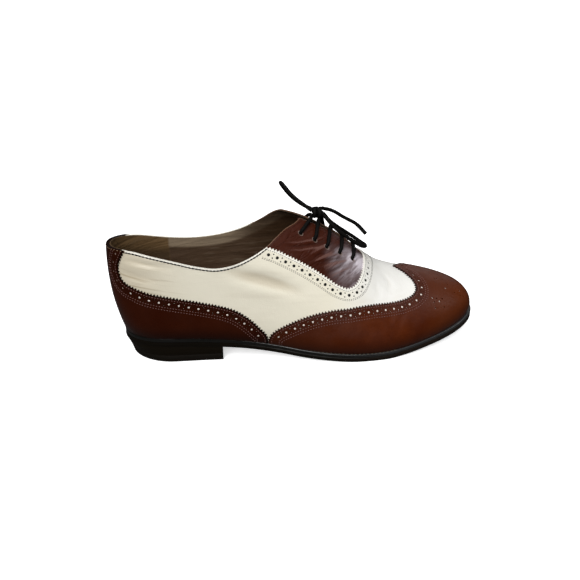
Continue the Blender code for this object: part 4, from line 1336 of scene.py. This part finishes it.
def make_white(band, tree, round_nodes):
    """The white quarters and vamp in one, with the pinked and punched band round the facings."""
    finish = white_finish()
    row = beside(over_ridge, band, -WHITE_BAND_HOLES)
    start = ridge_flat([WHITE_HOLE_START], -1)[0]
    big, small = brogue_holes(over_ridge, row, WHITE_PITCH, start, band_room)
    holes = hole_loops(over_ridge, big, BAND_BIG_HOLE) + hole_loops(over_ridge, small, BAND_SMALL_HOLE)
    piece = panel("white_quarters_vamp", over_ridge, white_outline(band), holes, WHITE_STEP, WHITE_TOP,
                  white_under, finish)
    dress(piece, "white_leather", "upper")
    # Dark rounds in the band's holes: partly the underlay there, partly painted shade of the deep holes.
    underlay_and_shade = plain_finish("band_underlay_and_shade", (0.006, 0.005, 0.004), 0.7)
    centres = np.vstack([big, small])
    rounds("band_underlay_and_shade", over_ridge, centres, BAND_BIG_HOLE, WHITE_TOP, UNDERLAY_AND_SHADE, round_nodes, underlay_and_shade,
           "black_lace")
    rows = [row_on(over_ridge, beside(over_ridge, band, -distance), WHITE_TOP)
            for distance in WHITE_BAND_STITCHES]
    grey = thread_finish("band_thread", (0.07, 0.06, 0.048))
    stitches("band_stitches", tree, rows, grey, "white_leather", **BAND_STITCH)
    black = thread_finish("topline_thread", (0.006, 0.005, 0.004))
    stitches("topline_stitches", tree, topline_rows(band), black, "black_lace", **TOPLINE_STITCH)
    tan = thread_finish("heel_rim_thread", (0.30, 0.21, 0.13))
    stitches("heel_rim_stitches", tree, [heel_rim_row()], tan, "white_leather", **HEEL_RIM_STITCH)


def band_room(flat):
    """Which points of the band lie clear of the top edge."""
    lateral = below_topline(flat, -1, BAND_TOP_ROOM)
    return np.where(flat[:, 1] < 0, lateral, below_topline(flat, 1, BAND_TOP_ROOM))


def rounds(name, chart, centres, diameter, top, sizes, round_nodes, finish, slot):
    """Small rounds that fill holes from below: their depth under the top, extra width and height."""
    places = [lifted(*chart(centres), top - sizes["depth"])]
    values = {"Width": diameter + sizes["extra"], "Height": sizes["height"]}
    dress(grown(name, round_nodes, places, values, finish), slot)


def topline_rows(band):
    """Rows of stitches under the top edge, along the white panel on both sides."""
    rows = []
    for side, corner in ((-1, band[0, 0]), (1, band[-1, 0])):
        end = float(station(corner)) - STITCH_ROW_STEP
        x = stations_between(TOPLINE_STITCH_FROM, end, STITCH_ROW_STEP)
        curve = topline_flat(x, side)
        curve[:, 1] += side * TOPLINE_STITCH_DROP
        rows.append(row_on(over_ridge, curve, WHITE_TOP + 0.1))
    return rows


def heel_rim_row():
    """The row of stitches under the top edge round the back, on the foxing."""
    x = stations_between(0.0, HEEL_RIM_TO, STITCH_ROW_STEP)
    round_back = np.vstack([heel_top(x[::-1], -1)[:-1], heel_top(x, 1)])
    round_back[:, 1] -= HEEL_RIM_DROP
    return row_on(round_heel, round_back, OVERLAY_TOP - 0.05)


def facing_outline(band, side):
    """One facing: along the top edge and the slit to the throat, then back under the white panel."""
    hidden = beside(over_ridge, band, -FACING_MARGIN)
    mine = (side * hidden[:, 1] > FACING_MEETING) & below_topline(hidden, side)
    hidden = hidden[mine]
    hidden = hidden if side > 0 else hidden[::-1]
    start = float(station(hidden[-1, 0]))
    top = topline_flat(stations_between(start, THROAT_END, TOP_STEP), side)
    front = np.array([(hidden[0, 0], side * FACING_MEETING)])
    return joined(top, front, hidden)


def lace_hole_places(side):
    columns = [BAR_COLUMNS.index(SIDE_NAMES[side] + kind) for kind in ("_x", "_share")]
    return ridge_flat(np.array(LACE_BARS)[:, columns], side)


def make_facings(band, tree):
    """The two facings with their lace holes, and a row of stitches along the slit."""
    finish = facing_finish()
    thread = thread_finish("facing_thread", (0.05, 0.016, 0.008))
    for side, name in SIDE_NAMES.items():
        places = lace_hole_places(side)
        holes = [hole_loop(over_ridge, centre, LACE_HOLE, LACE_HOLE_CORNERS) for centre in places]
        outline = facing_outline(band, side)
        piece = panel(f"facing_{name}", over_ridge, outline, holes, FACING_STEP, FACING_TOP, FACING_UNDER,
                      finish, places)
        dress(piece, "brown_foxing")
        corner = float(station(band[0 if side < 0 else -1, 0]))
        x = stations_between(corner + STITCH_ROW_STEP, THROAT - FACING_STITCH_STOP, STITCH_ROW_STEP)
        curve = topline_flat(x, side)
        curve[:, 1] += side * FACING_STITCH_DROP
        rows = [row_on(over_ridge, curve, FACING_TOP)]
        stitches(f"facing_stitches_{name}", tree, rows, thread, "brown_foxing", **FACING_STITCH)


def make_lining():
    """The lining of the whole upper, closed at the back by its seam."""
    lateral_top = topline_flat(stations_between(0.0, THROAT_END), -1)
    medial_top = topline_flat(stations_between(THROAT_END, 0.0), 1)
    lateral_foot, medial_foot = feather_runs(0.0, WHITE_FRONT)
    outline = joined(
        lateral_top, medial_top, line(medial_top[-1], medial_foot[0]), medial_foot,
        line(medial_foot[-1], lateral_foot[0]), lateral_foot, line(lateral_foot[-1], lateral_top[0]),
    )
    piece = panel("lining", over_ridge, outline, [], LINING_STEP, LINING_TOP, LINING_UNDER, lining_finish())
    dress(piece, "insole_leather")


def make_tongue():
    x = np.linspace(TONGUE_PLAN[0][0], TONGUE_PLAN[-1][0], TONGUE_POINTS)
    half = smooth_table(TONGUE_PLAN, "half_width", TONGUE_COLUMNS, x)
    lateral = np.column_stack([along(x), -half])
    medial = np.column_stack([along(x), half])[::-1]
    outline = joined(lateral, line(lateral[-1], medial[0]), medial, line(medial[-1], lateral[0]))
    finish = tongue_finish()
    piece = panel("tongue_leather", over_ridge, outline, [], TONGUE_STEP, TONGUE_TOP, TONGUE_UNDER, finish)
    dress(piece, "tongue_leather", "tongue")


def wing_curves():
    """The wing's edge on each side, from the sole to its peak on the ridge."""
    tables = {-1: WING_LATERAL, 1: WING_MEDIAL}
    return {side: evenly(ridge_flat(table, side), CURVE_STEP) for side, table in tables.items()}


def make_wing(tree, round_nodes, thread):
    """The wing cap with its punched band and toe pattern, the white in its holes and its stitches."""
    curves = wing_curves()
    lateral, medial = curves[-1], curves[1]
    foot_lateral = feather_flat(stations_between(LAST_LENGTH, station(lateral[0, 0]), WING_FOOT_STEP), -1)
    foot_medial = feather_flat(stations_between(station(medial[0, 0]), LAST_LENGTH, WING_FOOT_STEP), 1)
    edge_lateral = pinked(over_ridge, lateral)
    edge_medial = pinked(over_ridge, medial)[::-1]
    outline = joined(edge_lateral, edge_medial, foot_medial, foot_lateral)
    starts = {side: ridge_flat([WING_HOLE_START], side)[0] for side in curves}
    big, small, rows = brown_band(over_ridge, curves, WING_PITCH, starts, wing_room)
    extra_big, extra_small = medallion()
    punched = [(big, BIG_HOLE), (small, SMALL_HOLE)]
    punched += [(extra_big, MEDALLION_HOLE), (extra_small, MEDALLION_DOT)]
    piece = brown_panel("wing_cap_leather", over_ridge, outline, punched, OVERLAY_UNDER, wing_finish())
    dress(piece, "brown_wing", "wing_cap")
    white_rounds("wing_hole_whites", over_ridge, big, BIG_HOLE, round_nodes, WING_DIM)
    white_rounds("medallion_whites", over_ridge, extra_big, MEDALLION_HOLE, round_nodes, MEDALLION_DIM)
    stitches("wing_stitches", tree, rows, thread, "brown_wing", **BROWN_STITCH)


def wing_room(flat, side):
    """Which points of the wing's band lie on their own side of the ridge and above the sole."""
    x = station(flat[:, 0])
    return (side * flat[:, 1] > RIDGE_ROOM) & (np.abs(flat[:, 1]) < girth_at(x, side) - SOLE_ROOM)


def brown_band(chart, curves, pitch, starts, room):
    """Hole centres and stitch rows of a brown panel's band, on both sides."""
    big, small, rows = [], [], []
    for side, curve in curves.items():
        row = beside(chart, curve, side * BROWN_BAND_HOLES)
        row = row[room(row, side)]
        found = brogue_holes(chart, row, pitch, starts[side], lambda flat: room(flat, side))
        big.append(found[0])
        small.append(found[1])
        for distance in BROWN_BAND_STITCHES:
            stitch_row = beside(chart, curve, side * distance)
            stitch_row = stitch_row[room(stitch_row, side)]
            rows.append(row_on(chart, stitch_row, OVERLAY_TOP))
    return np.vstack(big), np.vstack(small), rows


def brown_panel(name, chart, outline, punched, under, finish):
    """A brown overlay with rows of holes: pairs of centres and a diameter."""
    holes = []
    for centres, diameter in punched:
        holes += hole_loops(chart, centres, diameter)
    return panel(name, chart, outline, holes, BROWN_STEP, OVERLAY_TOP, under, finish)


def white_rounds(name, chart, big, diameter, round_nodes, dim):
    """The white leather that shows in the big holes, dimmed along an axis by painted shade."""
    finish = Finish(name, (0.82, 0.74, 0.67), 0.5, Specular_IOR_Level=0.3)
    axis, start, end = dim
    # Painted shade: the white darkens along the axis.
    painted_hole_shade = finish.ranged(finish.axis(axis), start, end, 0.0, 0.85)
    finish.colour(finish.mixed(painted_hole_shade, (0.82, 0.74, 0.67), (0.13, 0.055, 0.035)))
    rounds(name, chart, big, diameter, OVERLAY_TOP, WHITES, round_nodes, finish.material, "white_leather")


def medallion():
    """The punched pattern on the toe, the same on both sides: bigger holes, then small ones."""
    tables = (MEDALLION_BIG, MEDALLION_SMALL)
    return [np.vstack([ridge_flat(table, side) for side in SIDE_NAMES]) for table in tables]


def make_foxing(tree, round_nodes, thread):
    """The heel foxing with its punched band, the white in its holes and its stitches."""
    curves = {}
    for side, table in ((-1, FOXING_LATERAL), (1, FOXING_MEDIAL)):
        curve = evenly(heel_flat(table, side), CURVE_STEP)
        x = station(np.abs(curve[:, 0]))
        under = curve[:, 1] < top_share(x, side) * girth_at(x, side)
        curves[side] = curve[: int(np.argmin(under)) if not under.all() else len(curve)]
    lateral, medial = curves[-1], curves[1]
    top_lateral = heel_top(stations_between(station(-lateral[-1, 0]), 0.0, TOP_STEP), -1)[1:]
    top_medial = heel_top(stations_between(0.0, station(medial[-1, 0]), TOP_STEP), 1)[:-1]
    foot = [heel_foot(stations_between(station(medial[0, 0]), 0.0), 1),
            heel_foot(stations_between(0.0, station(-lateral[0, 0])), -1)]
    outline = joined(pinked(round_heel, lateral), top_lateral, top_medial,
                     pinked(round_heel, medial)[::-1], *foot)
    starts = {side: heel_flat([FOXING_HOLE_START], side)[0] for side in curves}
    big, small, rows = brown_band(round_heel, curves, FOXING_PITCH, starts, foxing_room)
    punched = [(big, BIG_HOLE), (small, SMALL_HOLE)]
    piece = brown_panel("heel_foxing_leather", round_heel, outline, punched, foxing_under, foxing_finish())
    dress(piece, "brown_foxing", "heel_foxing")
    white_rounds("foxing_hole_whites", round_heel, big, BIG_HOLE, round_nodes, FOXING_DIM)
    stitches("foxing_stitches", tree, rows, thread, "brown_foxing", **BROWN_STITCH)


def heel_top(x, side):
    return np.column_stack([side * along(x), top_share(x, side) * girth_at(x, side)])


def heel_foot(x, side):
    return np.column_stack([side * along(x), 0 * x])


def foxing_room(flat, side):
    """Which points of the foxing's band lie under the top edge, above the sole and on their own side."""
    x = station(np.abs(flat[:, 0]))
    top = top_share(x, side) * girth_at(x, side)
    return (side * flat[:, 0] > BACK_ROOM) & (flat[:, 1] < top - SOLE_ROOM) & (flat[:, 1] > SOLE_ROOM)


# Bottom

def bottom_outline(stations, reach):
    """Plan of the feather edge moved out by reach: rows of x, y and the station's own x."""
    lateral = section(stations, -1)[:, 0, :2]
    medial = section(stations, 1)[:, 0, :2]
    ring = np.vstack([lateral, medial[::-1]])
    own = np.concatenate([stations, stations[::-1]])
    reaches = np.concatenate([reach(stations, "lateral"), reach(stations[::-1], "medial")])
    wrapped = np.vstack([ring[-2], ring, ring[1]])
    tangent = wrapped[2:] - wrapped[:-2]
    middle = len(stations)
    closed_toe = np.allclose(lateral[-1], medial[-1])
    for k in (middle - 1, middle):
        before = ring[middle - 2]
        after = ring[middle + 1]
        if closed_toe:
            tangent[k] = after - before
        else:
            tangent[k] = ring[k] - before if k == middle - 1 else after - ring[k]
    tangent[0] = ring[1] - ring[-2]
    tangent[-1] = tangent[0]
    tangent /= np.linalg.norm(tangent, axis=1)[:, None]
    outwards = np.column_stack([tangent[:, 1], -tangent[:, 0]])
    return np.column_stack([ring + outwards * reaches[:, None], own])


def bottom_stations(limit=LAST_LENGTH):
    """Stations of the bottom outline, crowded towards the back and the toe."""
    full = LAST_LENGTH * (1 - np.cos(np.linspace(0, np.pi, BOTTOM_STATIONS))) / 2
    return np.append(full[full < limit - 0.5], limit)


def reach_by(change):
    return lambda x, side: smooth_table(SOLE_REACH, side, REACH_COLUMNS, x) + change


def edge_reach(change):
    """The sole's reach with a change that fades at the heel, where welt and sole are trimmed flush."""
    def reach(x, side):
        share = HEEL_ROUNDING + (1 - HEEL_ROUNDING) * ease((x - HEEL_BREAST) / HEEL_ROUNDING_FADE)
        return smooth_table(SOLE_REACH, side, REACH_COLUMNS, x) + change * share
    return reach


def even_reach(distance):
    return lambda x, side: np.full(len(x), distance)


def feather(x):
    return last("feather", x)


def sole_bottom(x):
    return np.maximum(feather(x) - STACK, 0.0)


def loft(name, rings, finish, closed=True):
    """A solid through rings of like count; open ends are closed by strips from side to side."""
    count = len(rings[0])
    half = count // 2
    faces = []
    levels = list(zip(range(len(rings)), range(1, len(rings))))
    if not closed:
        levels.append((len(rings) - 1, 0))
    for upper, lower in levels:
        for k in range(count):
            after = (k + 1) % count
            faces.append([upper * count + k, lower * count + k, lower * count + after, upper * count + after])
    if closed:
        for level, turned in ((0, False), (len(rings) - 1, True)):
            for k in range(half - 1):
                strip = [level * count + j for j in (k, k + 1, count - 2 - k, count - 1 - k)]
                faces.append(strip[::-1] if turned else strip)
    piece = new_piece(name, placed(np.vstack(rings)), faces, finish)
    merged(piece)
    return piece


def merged(piece):
    """Joins a mesh's doubled points and turns its faces outwards."""
    bm = bmesh.new()
    bm.from_mesh(piece.data)
    bmesh.ops.remove_doubles(bm, verts=bm.verts, dist=MERGE_DISTANCE)
    bmesh.ops.dissolve_degenerate(bm, edges=bm.edges, dist=THIN_EDGE)
    bmesh.ops.recalc_face_normals(bm, faces=bm.faces)
    bm.to_mesh(piece.data)
    bm.free()
    shaded(piece.data)


def make_outsole():
    """The sole plate with a softly rounded edge."""
    finish = edge_finish("black_edge", (0.0045, 0.0032, 0.002), 0.42, fore=(0.011, 0.0075, 0.0055))
    stations = bottom_stations()
    rings = []
    for change, drop in SOLE_EDGE:
        outline = bottom_outline(stations, edge_reach(change))
        top = feather(outline[:, 2]) - GAP - WELT_THICK - GAP
        rings.append(np.column_stack([outline[:, :2], top + (sole_bottom(outline[:, 2]) - top) * drop]))
    dress(loft("outsole_edge", rings, finish), "black_edge", "outsole")


def make_welt(tree):
    """The welt with rounded edges and its row of stitches along each side."""
    # The grey tone towards the toe is a painted highlight on the welt.
    finish = edge_finish("black_welt", (0.004, 0.0036, 0.003), 0.3, 0.5, fore=(0.026, 0.026, 0.027))
    stations = bottom_stations()
    inner = even_reach(WELT_INNER)
    profile = [(inner, 1.0), (inner, 0.0)]
    profile += [(edge_reach(change), drop) for change, drop in WELT_EDGE]
    rings = []
    for reach, drop in profile:
        outline = bottom_outline(stations, reach)
        rings.append(np.column_stack([outline[:, :2], feather(outline[:, 2]) - GAP - drop * WELT_THICK]))
    dress(loft("welt_strip", rings, finish, closed=False), "black_edge", "welt")
    seam = bottom_outline(stations, reach_by(-WELT_SEAM_INSET))
    seam = seam[(seam[:, 2] > WELT_SEAM[0]) & (seam[:, 2] < WELT_SEAM[1])]
    rows = []
    for side in SIDE_NAMES:
        row = seam[side * seam[:, 1] > 0]
        points = np.column_stack([row[:, :2], feather(row[:, 2]) - GAP])
        rows.append((points, np.tile((0.0, 0.0, 1.0), (len(points), 1))))
    thread = thread_finish("welt_thread", (0.10, 0.085, 0.06))
    stitches("welt_stitches", tree, rows, thread, "black_edge", **WELT_STITCH)


def heel_ring(drop, height, change):
    """One level of the heel: the sole's outline up to the breast, drawn in towards the floor."""
    undercut = smooth_table(HEEL_TAPER, "back_undercut", HEEL_COLUMNS, drop)
    draw = smooth_table(HEEL_TAPER, "side_draw", HEEL_COLUMNS, drop)
    outline = bottom_outline(bottom_stations(HEEL_BREAST), reach_by(change))
    x = outline[:, 0] + undercut * (1 - ease(outline[:, 0] / HEEL_BREAST))
    y = outline[:, 1] - np.sign(outline[:, 1]) * np.minimum(draw, np.abs(outline[:, 1]))
    return np.column_stack([x, y, height(outline[:, 2])])


def make_heel():
    """The stacked lifts under the outsole, then the lift that meets the floor."""
    full = float(sole_bottom(0.0)) - GAP
    seam = TOP_PIECE + GAP
    rings = []
    for change, share in HEEL_EDGE:
        middle = full + (seam - full) * share

        def height(x, share=share):
            top = sole_bottom(x) - GAP
            return top + (seam - top) * share

        rings.append(heel_ring(1 - middle / full, height, change))
    finish = edge_finish("black_heel", (0.0055, 0.0036, 0.0016), 0.5)
    dress(loft("heel_lifts", rings, finish), "black_heel", "heel_stack")
    lift = []
    for change, level in LIFT_EDGE:
        lift.append(heel_ring(1 - level / full, lambda x, level=level: np.full(len(x), level), change))
    rubber = edge_finish("black_rubber", (0.006, 0.0045, 0.003), 0.6)
    dress(loft("heel_top_lift", lift, rubber), "black_rubber", "heel_top_piece")


def dress_insole():
    """The insole keeps its own solid, with a finish."""
    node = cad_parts["insole"]
    node.data.materials.clear()
    node.data.materials.append(insole_finish())


# Lace

def tube(name, points, radius, finish, braided=True):
    """A round cord through points in millimetres, with closed ends and a braided face."""
    points = respaced(points, points, LACE_STEP)
    tangent = np.gradient(points, axis=0)
    tangent /= np.linalg.norm(tangent, axis=1)[:, None]
    side = np.cross(tangent[0], (0.0, 0.0, 1.0))
    side = side if np.linalg.norm(side) > 0.1 else np.cross(tangent[0], (0.0, 1.0, 0.0))
    angle = np.linspace(0, 2 * np.pi, LACE_SIDES, endpoint=False)
    rings = []
    for number, (point, run) in enumerate(zip(points, tangent)):
        side = side - run * (side @ run)
        side /= np.linalg.norm(side)
        other = np.cross(run, side)
        turn = 2 * np.pi * number * LACE_STEP / BRAID_LEAD
        half = BRAID_STRANDS / 2
        weave = np.maximum(np.cos(half * angle + turn * half), np.cos(half * angle - turn * half))
        reach = radius * (1 + (BRAID_DEPTH * (weave - BRAID_MIDDLE) if braided else 0 * angle))
        spokes = np.cos(angle)[:, None] * side + np.sin(angle)[:, None] * other
        rings.append(point + reach[:, None] * spokes)
    count = len(rings)
    faces = []
    for k in range(count - 1):
        for j in range(LACE_SIDES):
            after = (j + 1) % LACE_SIDES
            here = k * LACE_SIDES
            there = here + LACE_SIDES
            faces.append([here + j, here + after, there + after, there + j])
    first = count * LACE_SIDES
    bulge = END_BULGE * radius
    ends = np.array([points[0] - tangent[0] * bulge, points[-1] + tangent[-1] * bulge])
    for j in range(LACE_SIDES):
        after = (j + 1) % LACE_SIDES
        faces.append([first, after, j])
        faces.append([first + 1, first - LACE_SIDES + j, first - LACE_SIDES + after])
    return new_piece(name, placed(np.vstack([*rings, ends])), faces, finish)


def bar_route(number):
    """One bar: up out of the lateral hole, over the slit and down into the medial hole."""
    lateral_x, lateral_share, medial_x, medial_share = LACE_BARS[number]
    t = np.linspace(0, 1, BAR_POINTS)
    x = lateral_x + (medial_x - lateral_x) * t
    signed = (lateral_share - 1) + (2 - lateral_share - medial_share) * t
    lift = np.full(len(t), BAR_LIFT)
    if number == 0:
        pull = np.sin(np.pi * t) ** TOP_BAR_POWER
        x = x + TOP_BAR_PULL * pull
        lift = lift + TOP_BAR_RISE * pull
    hole = np.minimum(t, 1 - t) / HOLE_DIVE_SHARE
    lift = lift - HOLE_DIVE * np.clip(1 - hole, 0, 1) ** HOLE_DIVE_POWER
    return lifted(x, signed, lift)[0]


def make_bars(finish):
    for number in range(len(LACE_BARS)):
        name = f"lace_bar_{number + 1}"
        dress(tube(name + "_cord", bar_route(number), LACE_RADIUS, finish), "black_lace", name)


def aglet(name, route, finish):
    """The tip that binds a lace's end."""
    lengths = run_length(route)
    tip = route[lengths > lengths[-1] - AGLET_LENGTH]
    return dress(tube(name, tip, AGLET_RADIUS, finish, braided=False), "black_lace")


def make_knot(finish):
    """The knot of the bow: strands wrapped round its middle, and the two strands that they hold."""
    centre = np.array(KNOT_CENTRE)
    turn = np.linspace(-KNOT_OVERLAP, 2 * np.pi + KNOT_OVERLAP, KNOT_POINTS)
    pieces = []
    for number, (shift, tilt, wide, high) in enumerate(KNOT_WRAPS):
        ring = np.column_stack([shift + tilt * wide * np.cos(turn), wide * np.cos(turn), high * np.sin(turn)])
        pieces.append(tube(f"lace_knot_{number}", ring + centre, LACE_RADIUS, finish))
    for number, core in enumerate(KNOT_CORES):
        route = evenly(centre + core, LACE_STEP)
        pieces.append(tube(f"lace_knot_core_{number}", route, KNOT_CORE_RADIUS, finish))
    return joined_piece("lace_knot_wraps", pieces)


def joined_piece(name, pieces):
    """One mesh object from several."""
    bm = bmesh.new()
    for piece in pieces:
        bm.from_mesh(piece.data)
    mesh = bpy.data.meshes.new(name)
    bm.to_mesh(mesh)
    bm.free()
    mesh.materials.append(pieces[0].data.materials[0])
    for piece in pieces:
        bpy.data.objects.remove(piece)
    return added(name, mesh)


def make_bow(finish):
    """Knot, two loops and two ends, each a cord of its own length."""
    tip_finish = aglet_finish()
    knot = dress(make_knot(finish), "black_lace", "lace_knot")
    routes = {
        "lace_loop_back": (LOOP_BACK, "object"),
        "lace_loop_front": (LOOP_FRONT, "object"),
        "lace_end_front": (END_FRONT, "fitting"),
        "lace_end_inner": (END_INNER, "fitting"),
    }
    for name, (points, far_end) in routes.items():
        route = evenly(points, LACE_STEP)
        cord = dress(tube(name + "_cord", route, LACE_RADIUS, finish), "black_lace", name)
        on_cord = [knot] if name == "lace_loop_back" else []
        if far_end == "fitting":
            on_cord.append(aglet(name + "_aglet", route, tip_finish))


# Camera, floor and light

def look_from(azimuth, elevation, distance, target):
    """A place at a distance from a target, and the turn that looks back at it."""
    a = np.radians(azimuth)
    e = np.radians(elevation)
    back = Vector((np.sin(a) * np.cos(e), -np.cos(a) * np.cos(e), np.sin(e)))
    return Vector(target) + back * distance, (-back).to_track_quat("-Z", "Y")


def make_camera():
    data = bpy.data.cameras.new("photo_camera")
    data.sensor_width = SENSOR_WIDTH
    data.lens = SENSOR_WIDTH * FOCAL_PIXELS / FRAME_PIXELS
    data.clip_start = CAMERA_CLIP
    camera = added("photo_camera", data)
    camera.rotation_mode = "QUATERNION"
    spot = look_from(CAMERA_AZIMUTH, CAMERA_ELEVATION, CAMERA_DISTANCE * MM, placed(CAMERA_TARGET))
    camera.location, camera.rotation_quaternion = spot
    bpy.context.scene.camera = camera


def add_sun(name, azimuth, elevation, spread, strength):
    """A broad soft light that falls alike on shoe and floor."""
    data = bpy.data.lights.new(name, "SUN")
    data.energy = strength
    data.angle = np.radians(spread)
    light = added(name, data)
    light.rotation_mode = "QUATERNION"
    spot = look_from(azimuth, elevation, LIGHT_DISTANCE, LIGHT_TARGET)
    light.location, light.rotation_quaternion = spot


def make_floor():
    corners = [(side, -FLOOR_HALF, -FLOOR_DROP) for side in (-FLOOR_HALF, FLOOR_HALF)]
    corners += [(side, FLOOR_HALF, -FLOOR_DROP) for side in (FLOOR_HALF, -FLOOR_HALF)]
    finish = Finish(
        "pale_floor", (0.98, 0.98, 0.98), 0.9, Specular_IOR_Level=0.1, Emission_Strength=FLOOR_GLOW,
        Emission_Color=(1, 1, 1, 1),
    )
    floor = new_piece("floor", corners, [(0, 1, 2, 3)], finish.material)
    floor.visible_glossy = False
    floor.visible_diffuse = False


def make_light():
    """A sky that is bright overhead, dim at the sides and faint below, and broad lights from three sides."""
    world = bpy.data.worlds.new("studio")
    world.use_nodes = True
    tree = world.node_tree
    place = tree.nodes.new("ShaderNodeTexCoord")
    height = tree.nodes.new("ShaderNodeSeparateXYZ")
    total = tree.nodes.new("ShaderNodeMath")
    link(tree, place, "Generated", height, "Vector")
    for number, limits in enumerate((SKY_RANGE, FLOOR_RANGE)):
        fade = tree.nodes.new("ShaderNodeMapRange")
        for name, value in limits.items():
            fade.inputs[name].default_value = value
        link(tree, height, "Z", fade, "Value")
        link(tree, fade, "Result", total, number)
    link(tree, total, "Value", tree.nodes["Background"], "Strength")
    tree.nodes["Background"].inputs["Color"].default_value = (1, 1, 1, 1)
    bpy.context.scene.world = world
    for name, light in LIGHTS.items():
        add_sun(name, *light)
    bpy.context.scene.view_settings.view_transform = "Standard"


def main():
    make_camera()
    lace = lace_finish()
    make_bow(lace)
    make_bars(lace)
    stitch_nodes = stitch_tree()
    round_nodes = round_tree()
    band = band_curve()
    brown_thread = thread_finish("brown_thread", (0.19, 0.10, 0.092))
    make_white(band, stitch_nodes, round_nodes)
    make_facings(band, stitch_nodes)
    make_lining()
    make_tongue()
    make_wing(stitch_nodes, round_nodes, brown_thread)
    make_foxing(stitch_nodes, round_nodes, brown_thread)
    make_outsole()
    make_welt(stitch_nodes)
    make_heel()
    dress_insole()
    make_floor()
    make_light()


main()
